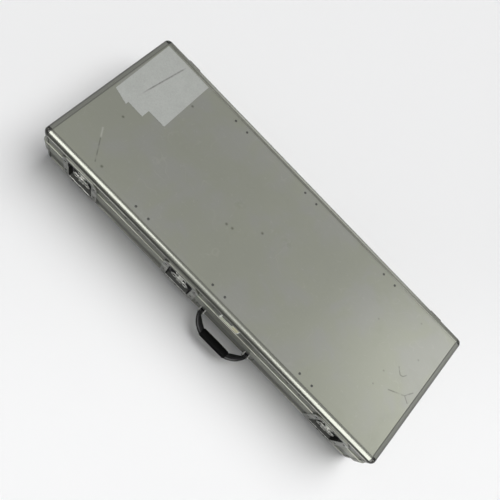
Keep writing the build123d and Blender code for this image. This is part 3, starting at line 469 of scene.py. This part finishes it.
def card_finish():
    """Old card: greenish cream, whiter at its edges and left end, yellowed at its right third."""
    finish = Finish("old card")
    low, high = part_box("lid_blank_label")
    middle, size = (low + high) / 2, high - low
    x, z = finish.along(X), finish.along(Z)
    rim = reduce(Wire.larger, [(z - middle.z).size().above(0.42 * size.z, 0.0015),
                               x.below(low.x + 0.0045, 0.0015), x.above(high.x - 0.002, 0.001)])
    rim = rim * (0.5 + finish.grain(190.0, 3.0, 0.7) * 0.9)
    yellowed = x.above(low.x + 0.68 * size.x, 0.004)
    stains = finish.grain(210.0, 3.0, 0.7).above(0.64, 0.1)
    fibres = finish.grain(700.0, 3.0, 0.6)
    colour = finish.mixed(finish.grain(60.0, 4.0, 0.6), (0.78, 0.79, 0.64, 1), (0.66, 0.68, 0.53, 1))
    colour = finish.mixed(yellowed * 0.8, colour, (0.72, 0.69, 0.44, 1))
    colour = finish.mixed(rim, colour, (0.95, 0.96, 0.90, 1))
    colour = finish.mixed(stains * 0.35, colour, (0.42, 0.41, 0.33, 1))
    return finish.surface(colour, 0.75 + fibres * 0.1, 0.0, finish.bumped(fibres, 0.3, 0.0003))


def tape_finish():
    """Light grey cloth tape: a square weave, mottling and one crease painted dark as shade, that fades
    at its ends.
    """
    finish = Finish("grey cloth tape")
    across, along = (finish.node("ShaderNodeTexWave", {"bands_direction": way}, {
        "Vector": finish.point(), "Scale": 210.0, "Distortion": 1.2, "Detail": 1.0}) for way in "XY")
    weave = across * along
    patches = finish.grain(30.0, 4.0, 0.6)
    mottle = finish.grain(260.0, 3.0, 0.7)
    y = finish.along(Y)
    # painted shade along the crease
    crease = finish.segment(*TAPE_CREASE) * y.above(0.050, 0.05) * y.below(0.166, 0.02)
    crease = crease * (finish.grain(110.0, 2.0, 0.6) * 1.5)
    colour = finish.mixed(patches, (0.315, 0.325, 0.303, 1), (0.41, 0.422, 0.40, 1))
    colour = finish.mixed(mottle.above(0.56, 0.14) * 0.16, colour, (0.23, 0.24, 0.225, 1))
    colour = finish.mixed(mottle.below(0.42, 0.12) * 0.10, colour, (0.54, 0.55, 0.52, 1))
    colour = finish.mixed(weave * 0.25, colour, (0.24, 0.25, 0.235, 1))
    colour = finish.mixed(crease, colour, (0.12, 0.12, 0.11, 1))
    normal = finish.bumped(weave + patches * 1.5 - crease * 2.0, 0.4, 0.0004)
    return finish.surface(colour, 0.55 + patches * 0.15, 0.0, normal)


def floor_finish():
    """Pale matt floor that keeps the shadow, with painted shade making it a little darker behind the
    case.
    """
    finish = Finish("pale floor")
    behind = finish.vector("DOT_PRODUCT", finish.point(), (-0.64, 0.77, 0.0), output="Value")
    paper = finish.grain(3.0, 2.0, 0.5)
    colour = finish.mixed(paper, grey(0.945), grey(0.955))
    # painted shade: the floor darker behind the case
    colour = finish.mixed(behind.above(-0.15, 0.7), colour, grey(0.865))
    return finish.surface(colour, 0.9, 0.0, specular_ior_level=0.1)


# Pieces
def placed(name, data):
    """A new object in the scene."""
    made = bpy.data.objects.new(name, data)
    bpy.context.scene.collection.objects.link(made)
    return made


def piece_from(name, shape):
    """A piece from a bmesh, its normals facing out."""
    bmesh.ops.recalc_face_normals(shape, faces=shape.faces)
    mesh = bpy.data.meshes.new(name)
    shape.to_mesh(mesh)
    shape.free()
    return placed(name.replace(" ", "_"), mesh)


def settled(piece):
    """Bake the piece's modifiers into its mesh."""
    bpy.context.view_layer.update()
    seen = piece.evaluated_get(bpy.context.evaluated_depsgraph_get())
    shaped = bpy.data.meshes.new_from_object(seen)
    piece.modifiers.clear()
    piece.data = shaped
    return piece


def shade(piece, angle=40):
    """Smooth shading with crisp edges where faces meet at more than an angle."""
    shape = bmesh.new()
    shape.from_mesh(piece.data)
    for face in shape.faces:
        face.smooth = True
    for edge in shape.edges:
        edge.smooth = len(edge.link_faces) == 2 and edge.calc_face_angle(0) < radians(angle)
    shape.to_mesh(piece.data)
    shape.free()
    return piece


def put_in_place(piece, finish, node):
    """Finish a piece, let it ride on its node's body and stand for the node."""
    piece.data.materials.clear()
    piece.data.materials.append(FINISHES[finish])
    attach(piece, frame["nodes"][node]["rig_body"])
    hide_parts(node)
    return piece


def solid_of(node):
    """The skin of a CAD piece as a bmesh, its faces joined."""
    shape = bmesh.new()
    shape.from_mesh(frame["nodes"][node].data)
    bmesh.ops.remove_doubles(shape, verts=shape.verts, dist=SAME_PLACE)
    return shape


def joined(parts):
    """One bmesh from several."""
    whole = bmesh.new()
    for part in parts:
        mesh = bpy.data.meshes.new("part")
        part.to_mesh(mesh)
        part.free()
        whole.from_mesh(mesh)
        bpy.data.meshes.remove(mesh)
    return whole


def loft(rings):
    """A closed skin over rings of the same number of points."""
    shape = bmesh.new()
    loops = [[shape.verts.new(point) for point in ring] for ring in rings]
    for first, second in zip(loops, loops[1:]):
        for i in range(len(first)):
            j = (i + 1) % len(first)
            shape.faces.new((first[i], first[j], second[j], second[i]))
    shape.faces.new(loops[0])
    shape.faces.new(loops[-1])
    return shape


def fill_rows(shape, rows):
    """Faces between rows of points."""
    for near, far in zip(rows, rows[1:]):
        for i in range(len(near) - 1):
            shape.faces.new((near[i], near[i + 1], far[i + 1], far[i]))


def turns(count):
    """Angles evenly round a circle."""
    return [2 * pi * i / count for i in range(count)]


def unit(axis):
    return Vector([float(i == axis) for i in range(3)])


def eased(node, width, finish, rounded):
    """A copy of a CAD piece, its sharp edges broken and, if rounded, bent round the case's corners."""
    shape = solid_of(node)
    bmesh.ops.dissolve_limit(shape, angle_limit=radians(1), verts=shape.verts, edges=shape.edges)
    piece = piece_from("eased " + node.replace("_", " "), shape)
    bevel = piece.modifiers.new("broken edges", "BEVEL")
    bevel.width, bevel.segments = width, 2
    bevel.limit_method, bevel.angle_limit = "ANGLE", radians(35)
    bevel.miter_outer = "MITER_ARC"
    settled(piece)
    if rounded:
        round_corners(piece)
    return put_in_place(shade(piece, 30), finish, node)


def round_corners(piece):
    """Bend what stands at a square corner of the case on to the round of its corner profiles."""
    centre = (HALF_LENGTH - EDGE_RADIUS, HALF_WIDTH - EDGE_RADIUS)
    shape = bmesh.new()
    shape.from_mesh(piece.data)
    for axis in (X, Y):
        for side in (-1, 1):
            for step in range(CORNER_CUTS + 1):
                cut = side * (centre[axis] + EDGE_RADIUS * step / CORNER_CUTS)
                bmesh.ops.bisect_plane(shape, geom=shape.verts[:] + shape.edges[:] + shape.faces[:],
                                       plane_co=unit(axis) * cut, plane_no=unit(axis), dist=SAME_PLACE)
    for vert in shape.verts:
        x, y = abs(vert.co.x) - centre[X], abs(vert.co.y) - centre[Y]
        if x > 0 and y > 0:
            turn = pi / 4 * y / x if y < x else pi / 2 - pi / 4 * x / y
            vert.co.x = copysign(centre[X] + max(x, y) * cos(turn), vert.co.x)
            vert.co.y = copysign(centre[Y] + max(x, y) * sin(turn), vert.co.y)
    shape.to_mesh(piece.data)
    shape.free()


def line_dish(piece, node):
    """Paint the inside of a latch's dish dark, as painted shade."""
    low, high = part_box(node)
    middle = (low.x + high.x) / 2
    half_width, half_height = (size / 2 + OPENING_MARGIN for size in OPENING)
    piece.data.materials.append(FINISHES["dish shade"])
    for face in piece.data.polygons:
        x, y, z = face.center
        inside = abs(x - middle) < half_width and abs(z - LID_TOP / 2) < half_height
        if inside and y > low.y + DISH_SHADE_DEPTH:
            face.material_index = 1


# Edge profiles and corner caps
def reach(direction):
    """How many times a direction goes from the flange's inner corner to the rounded skin."""
    return FLANGE / sum(part ** ROUNDNESS for part in direction) ** (1 / ROUNDNESS)


def fall(across):
    """How far the profile has dropped at a distance from the flange's inner edge."""
    return FLANGE - (FLANGE ** ROUNDNESS - across ** ROUNDNESS) ** (1 / ROUNDNESS)


def level(half, down):
    """Height at a depth into the lid, or the same from the floor up for the base."""
    return LID_TOP - down if half == "lid" else down


def edge_outline():
    """Section of an edge profile: (in from the side, down from the top), outer corner at (0, 0)."""
    slot_end = WALL + EDGE_SLOT
    deep = slot_end + WALL
    lip = WALL / 4
    grooves = [(place + shift * LINE_WIDTH / 2, depth) for place in LINE_PLACES
               for shift, depth in ((-1, 0), (-0.5, LINE_DEPTH), (0.5, LINE_DEPTH), (1, 0))]
    side = [(fall(across) + depth, FLANGE - across) for across, depth in grooves]
    top = [(FLANGE - across, fall(across) + depth) for across, depth in grooves]
    first = atan2(grooves[-1][0] + LINE_WIDTH, FLANGE)
    arc = []
    for i in range(ARC_STEPS + 1):
        turn = first + (pi / 2 - 2 * first) * i / ARC_STEPS
        far = reach((cos(turn), sin(turn)))
        arc.append((FLANGE - far * cos(turn), FLANGE - far * sin(turn)))
    return ([(lip, FLANGE), (0, FLANGE - lip)] + side + arc + top[::-1]
            + [(FLANGE - lip, 0), (FLANGE, lip), (FLANGE, WALL), (EDGE_CORE, WALL),
               (EDGE_CORE, slot_end), (FLANGE, slot_end), (FLANGE, deep), (deep, deep),
               (deep, FLANGE), (slot_end, FLANGE), (slot_end, EDGE_CORE), (WALL, EDGE_CORE),
               (WALL, FLANGE)])


def profile_bar(place, low, high):
    """One length of edge profile; place turns (inward, down, along) into a point."""
    outline = edge_outline()
    stations = [low + (high - low) * i / BAR_STEPS for i in range(BAR_STEPS + 1)]
    return loft([[place(inward, down, along) for inward, down in outline] for along in stations])


def edge_bars():
    """All the profiles round the lid and the base, and the upright ones at the corners."""
    x_end, y_end = HALF_LENGTH - FLANGE - JOINT_GAP, HALF_WIDTH - FLANGE - JOINT_GAP
    for half in ("lid", "base"):
        for side, where in ((-1, "front"), (1, "back")):
            bar = profile_bar(lambda u, v, s: (s, side * (HALF_WIDTH - u), level(half, v)),
                              -x_end, x_end)
            piece = shade(piece_from(f"{half} {where} edge profile", bar))
            put_in_place(piece, "edge x", f"{half}_{where}_edge")
        ends = [profile_bar(lambda u, v, s: (side * (HALF_LENGTH - u), s, level(half, v)), -y_end, y_end)
                for side in (-1, 1)]
        piece = shade(piece_from(f"{half} end profiles", joined(ends)))
        put_in_place(piece, "edge y", f"{half}_end_edges")
        low, high = (box.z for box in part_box(f"{half}_corner_posts"))
        posts = [profile_bar(lambda u, v, s: (x * (HALF_LENGTH - u), y * (HALF_WIDTH - v), s),
                             low + JOINT_GAP, high - JOINT_GAP) for x in (-1, 1) for y in (-1, 1)]
        piece = shade(piece_from(f"{half} corner profiles", joined(posts)))
        put_in_place(piece, "edge z", f"{half}_corner_posts")


def cap_skin(half, x, y):
    """Skin of one corner cap: three faces of a cube, rounded like the profiles."""
    skin = bmesh.new()
    for axis in range(3):
        rows = []
        for j in range(CAP_STEPS + 1):
            row = []
            for i in range(CAP_STEPS + 1):
                inward = [FLANGE * i / CAP_STEPS, FLANGE * j / CAP_STEPS]
                inward.insert(axis, 0.0)
                away = [FLANGE - value for value in inward]
                u, v, w = (FLANGE - value * reach(away) for value in away)
                row.append(skin.verts.new((x * (HALF_LENGTH - u), y * (HALF_WIDTH - v), level(half, w))))
            rows.append(row)
        fill_rows(skin, rows)
    bmesh.ops.remove_doubles(skin, verts=skin.verts, dist=SAME_PLACE)
    return skin


def corner_caps():
    """Ball-cornered caps of the lid and the base."""
    for half in ("lid", "base"):
        caps = joined([cap_skin(half, x, y) for x in (-1, 1) for y in (-1, 1)])
        piece = piece_from(f"{half} corner caps", caps)
        wall = piece.modifiers.new("wall", "SOLIDIFY")
        wall.thickness, wall.offset = WALL, -1
        put_in_place(shade(settled(piece)), "cast caps", f"{half}_corner_caps")


# Rivets
def islands(shape):
    """The points of each loose part of a bmesh."""
    seen = set()
    for vert in shape.verts:
        if vert in seen:
            continue
        seen.add(vert)
        island, queue = [], [vert]
        while queue:
            here = queue.pop()
            island.append(here.co.copy())
            for edge in here.link_edges:
                there = edge.other_vert(here)
                if there not in seen:
                    seen.add(there)
                    queue.append(there)
        yield island


def dome(island):
    """A domed rivet head with its broken stem, over the points of one CAD head."""
    low, high = (Vector([pick(point[i] for point in island) for i in range(3)]) for pick in (min, max))
    size = high - low
    axis = min(range(3), key=lambda i: size[i])
    outward = (low + high)[axis] > 0
    out = unit(axis) * (1 if outward else -1)
    foot = (low + high) / 2
    foot[axis] = low[axis] if outward else high[axis]
    across = unit(Y if axis == X else X)
    other = out.cross(across)
    radius = max(size) / 2
    rings = []
    for share, rise in DOME:
        centre = foot + out * (rise * size[axis])
        rings.append([centre + (across * cos(a) + other * sin(a)) * (radius * share)
                      for a in turns(DOME_SIDES)])
    return loft(rings)


def rivet_domes(node):
    """Domed heads, one on each head of the CAD piece."""
    shape = solid_of(node)
    heads = joined([dome(island) for island in islands(shape)])
    shape.free()
    put_in_place(shade(piece_from(node.replace("_", " ") + " domes", heads), 50), "rivets", node)


# Handle
def squircle(across, up, squareness, count):
    """Points of a rounded section, from its half width and half thickness."""
    points = []
    for i in range(count):
        c, s = cos(2 * pi * (i + 0.5) / count), sin(2 * pi * (i + 0.5) / count)
        points.append((copysign(across * abs(c) ** (2 / squareness), c),
                       copysign(up * abs(s) ** (2 / squareness), s)))
    return points


def arc_through(start, bend, end):
    """Points on the arc from start to end by way of a third point."""
    trios = ((start, bend, end), (bend, end, start), (end, start, bend))
    scale = 2 * sum(p[0] * (q[1] - r[1]) for p, q, r in trios)
    middle_x = sum((p[0] ** 2 + p[1] ** 2) * (q[1] - r[1]) for p, q, r in trios) / scale
    middle_y = sum((p[0] ** 2 + p[1] ** 2) * (r[0] - q[0]) for p, q, r in trios) / scale
    radius = hypot(start[0] - middle_x, start[1] - middle_y)
    first, last = (atan2(y - middle_y, x - middle_x) for x, y in (start, end))
    turn = (last - first + pi) % (2 * pi) - pi
    angles = [first + turn * i / ARM_STEPS for i in range(ARM_STEPS + 1)]
    return [(middle_x + radius * cos(a), middle_y + radius * sin(a)) for a in angles]


def arm_side(eye, edge, bend):
    """One side of an arm: straight out of its eye, bent to the grip and on to the grip's middle."""
    start, end = (eye, ARM_STRAIGHT), (GRIP_HALF, edge)
    third = tuple(start[i] + bend[i] * (end[i] - start[i]) for i in range(2))
    return ([(eye, 0), (eye, ARM_STRAIGHT / 2)] + arc_through(start, third, end)
            + [(GRIP_HALF / 2, edge), (0, edge)])


def handle_point(x, out, up):
    """A point of the handle, drawn out from its pivot, in the frame of the case."""
    return (HANDLE_PIVOT.x + x, HANDLE_PIVOT.y - out, HANDLE_PIVOT.z + up)


def handle_bow():
    """The moulded bow: two bent arms that meet inside the grip, each with a round eye."""
    outer = arm_side(EYE_OUT, GRIP_REACH + GRIP_DEPTH / 2 - SLEEVE, OUTER_BEND)
    inner = arm_side(EYE_IN, GRIP_REACH - GRIP_DEPTH / 2 + SLEEVE, INNER_BEND)
    easing = ((0, 1), (1 / 3, 1 / 3), (1, 0))
    eye = [(EYE_IN + EYE_RIM * inward, EYE_RADIUS - EYE_RIM * off) for inward, off in easing]
    eye += [(EYE_OUT - EYE_RIM * inward, EYE_RADIUS - EYE_RIM * off) for inward, off in reversed(easing)]
    parts = []
    for side in (-1, 1):
        rings = []
        for (ox, oy), (ix, iy) in zip(outer, inner):
            middle = ((ox + ix) / 2, (oy + iy) / 2)
            half = hypot(ox - ix, oy - iy) / 2
            across = ((ox - ix) / 2 / half, (oy - iy) / 2 / half)
            rings.append([handle_point(side * (middle[0] + across[0] * u), middle[1] + across[1] * u, v)
                          for u, v in squircle(half, EYE_RADIUS, ARM_SQUARENESS, ARM_SIDES)])
        parts.append(loft(rings))
        parts.append(loft([[handle_point(side * x, radius * cos(a), radius * sin(a))
                            for a in turns(EYE_SIDES)] for x, radius in eye]))
    piece = shade(piece_from("moulded handle bow", joined(parts)), 50)
    put_in_place(piece, "black moulding", "handle_bow")


def handle_grip():
    """The rubber sleeve: rounded at its ends and a little fuller in its middle."""
    stations = [(x - GRIP_HALF, size) for x, size in GRIP_ENDS]
    stations += [(-GRIP_HALF + 2 * GRIP_HALF * i / GRIP_STEPS, 1.0) for i in range(1, GRIP_STEPS)]
    stations += [(GRIP_HALF - x, size) for x, size in reversed(GRIP_ENDS)]
    rings = []
    for x, size in stations:
        full = size * (1 - GRIP_SWELL * (x / GRIP_HALF) ** 2)
        section = squircle(GRIP_DEPTH / 2 * full, GRIP_THICK / 2 * full, GRIP_SQUARENESS, GRIP_SIDES)
        rings.append([handle_point(x, GRIP_REACH + u, v) for u, v in section])
    put_in_place(shade(piece_from("rubber grip sleeve", loft(rings)), 60), "grip", "handle_grip")


# Tape, label and foam
def tape_strips():
    """Three lengths of cloth tape side by side on the lid, laid from the back profile."""
    across, along = TAPE_CELLS
    for index, (name, *corners) in enumerate(TAPE_STRIPS):
        back_left, back_right, front_left, front_right = (
            Vector((x, y, LID_SHEET + TAPE_LIFT)) for x, y in corners)
        shape = bmesh.new()
        rows = []
        for j in range(along + 1):
            left, right = back_left.lerp(front_left, j / along), back_right.lerp(front_right, j / along)
            row = []
            for i in range(across + 1):
                point = left.lerp(right, i / across)
                spot = Vector((point.x * TAPE_RIPPLE_SCALE, point.y * TAPE_RIPPLE_SCALE, index * 3.0))
                point.z += TAPE_RIPPLE * (1 + noise.noise(spot)) + TAPE_LAYER * index
                if j == along:
                    spot = Vector((point.x * TAPE_TEAR_SCALE, index * 7.0, 0))
                    point.y += TAPE_TEAR * noise.noise(spot)
                row.append(shape.verts.new(point))
            rows.append(row)
        fill_rows(shape, rows)
        piece = piece_from(f"{name} strip of cloth tape", shape)
        cloth = piece.modifiers.new("thickness", "SOLIDIFY")
        cloth.thickness, cloth.offset = TAPE_THICK, 0
        shade(settled(piece), 60)
        piece.data.materials.append(FINISHES["tape"])
        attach(piece, frame["nodes"]["lid_top_panel"]["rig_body"])


def blank_label():
    """The card on the lid's front, its upper part torn away but for the right end and a left strip."""
    low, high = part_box("lid_blank_label")
    foot, head = low.z + CARD_MARGIN, high.z - CARD_MARGIN
    tear_end, tear_height = low.x + CARD_TEAR[0] * (high.x - low.x), foot + CARD_TEAR[1] * (head - foot)
    tops, bottoms = [], []
    for i in range(CARD_COLUMNS + 1):
        x = low.x + (high.x - low.x) * i / CARD_COLUMNS
        torn = low.x + CARD_LEFT_STRIP < x < tear_end
        jag = CARD_JAG * noise.noise(Vector((x * CARD_JAG_SCALE, 3.0, 1.0)))
        tops.append((x, tear_height + jag * 2.0 if torn else head + jag * 0.4))
        bottoms.append((x, foot + 0.4 * jag))
    rings = [[(x, high.y - rise, z) for x, z in bottoms + tops[::-1]] for rise in (0.0, CARD_THICK)]
    put_in_place(piece_from("blank card label", loft(rings)), "card", "lid_blank_label")


def foam_piece(node, name):
    """Plush-covered foam: remeshed, with softened edges and an uneven nap."""
    piece = piece_from(name, solid_of(node))
    shell = piece.modifiers.new("remesh", "REMESH")
    shell.mode, shell.voxel_size = "VOXEL", FOAM_VOXEL
    soft = piece.modifiers.new("soft edges", "SMOOTH")
    soft.factor, soft.iterations = FOAM_SMOOTHING
    settled(piece)
    skin = [(vert.normal.copy(), vert.co.copy()) for vert in piece.data.vertices]
    for vert, (out, point) in zip(piece.data.vertices, skin):
        wave = 0.5 + sum(strength * noise.noise(point * scale) for strength, scale in NAP_WAVES)
        vert.co = point - out * NAP_DEPTH * wave
    shade(piece, 80)
    put_in_place(piece, "plush", node)


FINISHES = {
    "lid top": sheet_finish("brushed lid sheet", marked=True),
    # the same sheet as the lid's, painted darker as shade on the upright sides
    "sheet": sheet_finish("side sheet, painted darker as shade", 0.65),
    # the edge profiles and the closure bars carry bands of painted shade and painted highlight
    "edge x": drawn_finish("drawn edge profile, lengthwise", X, 0.18, 0.20,
                           bands=(PAINTED_SHADE_UNDER_ROLL, PAINTED_LIP_HIGHLIGHT, PAINTED_SHADE_NEAR_FLOOR)),
    "edge y": drawn_finish("dull edge profile, crosswise", Y, 0.175, 0.30, 0.15,
                           (PAINTED_SHADE_UNDER_END_ROLL, PAINTED_LIP_HIGHLIGHT, PAINTED_SHADE_NEAR_FLOOR, END_FLANGE_LINE)),
    "edge z": drawn_finish("drawn edge profile, upright", Z, 0.18, 0.22),
    "closure": drawn_finish("drawn closure bar", X, 0.27, 0.30, bands=(PAINTED_SEAM_HIGHLIGHT,)),
    "closure brackets": drawn_finish("dull closure bracket", Z, 0.17, 0.30),
    "cast caps": bright_finish("worn polished caps", 0.05, 0.16),
    # the plate's band is painted shade
    "latch plate": bright_finish("worn bright latch plate", 0.36, 0.24, 0.8, (PAINTED_SHADE_ON_PLATE_HEAD,)),
    "latch works": bright_finish("bright latch works", 0.48, 0.20, 0.7),
    # painted shade: the inside of the latch dishes, near black
    "dish shade": bright_finish("dark dish lining", 0.03, 0.45),
    "plated": bright_finish("plated steel", 0.45, 0.26),
    "handle brackets": bright_finish("dull bracket sheet", 0.22, 0.30),
    "rivets": bright_finish("dull rivet heads", 0.07, 0.30),
    "black moulding": moulded_finish(),
    "grip": grip_finish(),
    "rubber": rubber_finish(),
    "plush": plush_finish(),
    "card": card_finish(),
    "tape": tape_finish(),
}
EASED = (  # nodes, width of the broken edge, finish, bent round the case's corners
    (("lid_front_closure", "lid_back_closure", "lid_end_closures", "base_front_closure",
      "base_back_closure", "base_end_closures"), 0.0004, "closure", True),
    (("lid_closure_corners", "base_closure_corners"), 0.0004, "closure brackets", True),
    (("base_seal",), 0.0003, "rubber", True),
    (("latch_{}_dish", "latch_{}_keeper"), 0.0007, "latch plate", False),
    (("latch_{}_rotor", "latch_{}_left_wing", "latch_{}_right_wing", "latch_{}_hook"), 0.0004,
     "latch works", False),
    (("handle_brackets",), 0.0004, "handle brackets", False),
    (("lid_hinge_leaves", "base_hinge_leaves"), 0.0004, "plated", False),
    (("lid_feet", "base_feet"), 0.0012, "rubber", False),
)
KEPT = {  # finish of the CAD pieces that stay as they are
    "lid top": ("lid_top_panel",), "plated": ("lid_stiffeners",),
    "sheet": ("lid_front_panel", "lid_back_panel", "lid_end_panels", "base_front_panel",
              "base_back_panel", "base_end_panels", "base_bottom_panel"),
}

for finish, nodes in KEPT.items():
    for node in nodes:
        frame["nodes"][node].data.materials.clear()
        frame["nodes"][node].data.materials.append(FINISHES[finish])
edge_bars()
corner_caps()
for names, width, finish, rounded in EASED:
    for name in names:
        for place in ("left", "middle", "right") if "{}" in name else ("",):
            node = name.format(place)
            piece = eased(node, width, finish, rounded)
            if finish == "latch plate":
                line_dish(piece, node)
rivet_domes("lid_rivets")
rivet_domes("base_rivets")
handle_bow()
handle_grip()
tape_strips()
blank_label()
foam_piece("base_foam_block", "plush foam bed")
foam_piece("lid_foam_pad", "plush lid pad")


# Studio
def floor():
    shape = bmesh.new()
    bmesh.ops.create_grid(shape, x_segments=1, y_segments=1, size=FLOOR_SIZE)
    ground = piece_from("studio floor", shape)
    ground.data.materials.append(floor_finish())


def sky():
    """Dim where it lights the scene, white to the camera, brighter overhead where metal mirrors it."""
    world = bpy.data.worlds.new("studio")
    world.use_nodes = True
    bpy.context.scene.world = world
    nodes = Nodes(world.node_tree)
    camera, glossy, transmission = (nodes.node("ShaderNodeLightPath", output=f"Is {kind} Ray")
                                    for kind in ("Camera", "Glossy", "Transmission"))
    way = nodes.node("ShaderNodeTexCoord", output="Generated")
    height = nodes.node("ShaderNodeSeparateXYZ", inputs={0: way}, output=Z)
    rise = nodes.node("ShaderNodeMapRange", inputs={"Value": height, **SKY_IN_METAL})
    dim = nodes.node("ShaderNodeBackground", inputs={"Color": SKY_COLOUR, "Strength": SKY_STRENGTH})
    bright = nodes.node("ShaderNodeBackground", inputs={"Color": rise.larger(camera)})
    seen = camera.larger(glossy).larger(transmission)
    both = nodes.node("ShaderNodeMixShader", inputs={0: seen, 1: dim, 2: bright})
    nodes.node("ShaderNodeOutputWorld", inputs={"Surface": both})


def key_light():
    """The main light, broad and soft, which metal doesn't mirror."""
    lamp = bpy.data.lights.new("diffused key light", "SUN")
    lamp.energy, lamp.angle = KEY_ENERGY, KEY_ANGLE
    stand = placed("diffused key light", lamp)
    stand.rotation_euler = KEY_FROM.to_track_quat("Z", "Y").to_euler()
    stand.visible_glossy = False


def softbox(name, place, aim, size, power):
    """A softbox that only shows as a sheen on metal and moulding."""
    lamp = bpy.data.lights.new(name, "AREA")
    lamp.shape, lamp.energy = "RECTANGLE", power
    lamp.size, lamp.size_y = size
    stand = placed(name, lamp)
    stand.location = place
    stand.rotation_euler = (Vector(aim) - Vector(place)).to_track_quat("-Z", "Y").to_euler()
    stand.visible_diffuse = False


def photo_camera():
    """Camera at the photograph's viewing angle."""
    across = LOOK.cross(unit(Z)).normalized()
    up = across.cross(LOOK).normalized()
    right = across * cos(CAMERA_ROLL) + up * sin(CAMERA_ROLL)
    upright = up * cos(CAMERA_ROLL) - across * sin(CAMERA_ROLL)
    camera = placed("photo camera", bpy.data.cameras.new("photo camera"))
    turned = Matrix((right, upright, -LOOK)).transposed().to_4x4()
    camera.matrix_world = Matrix.Translation(CAMERA_PLACE) @ turned
    camera.data.lens, camera.data.sensor_width = LENS, SENSOR
    camera.data.clip_start = 0.05
    bpy.context.scene.camera = camera


floor()
sky()
key_light()
for box in SOFTBOXES:
    softbox(*box)
photo_camera()
bpy.context.scene.view_settings.view_transform = "Standard"
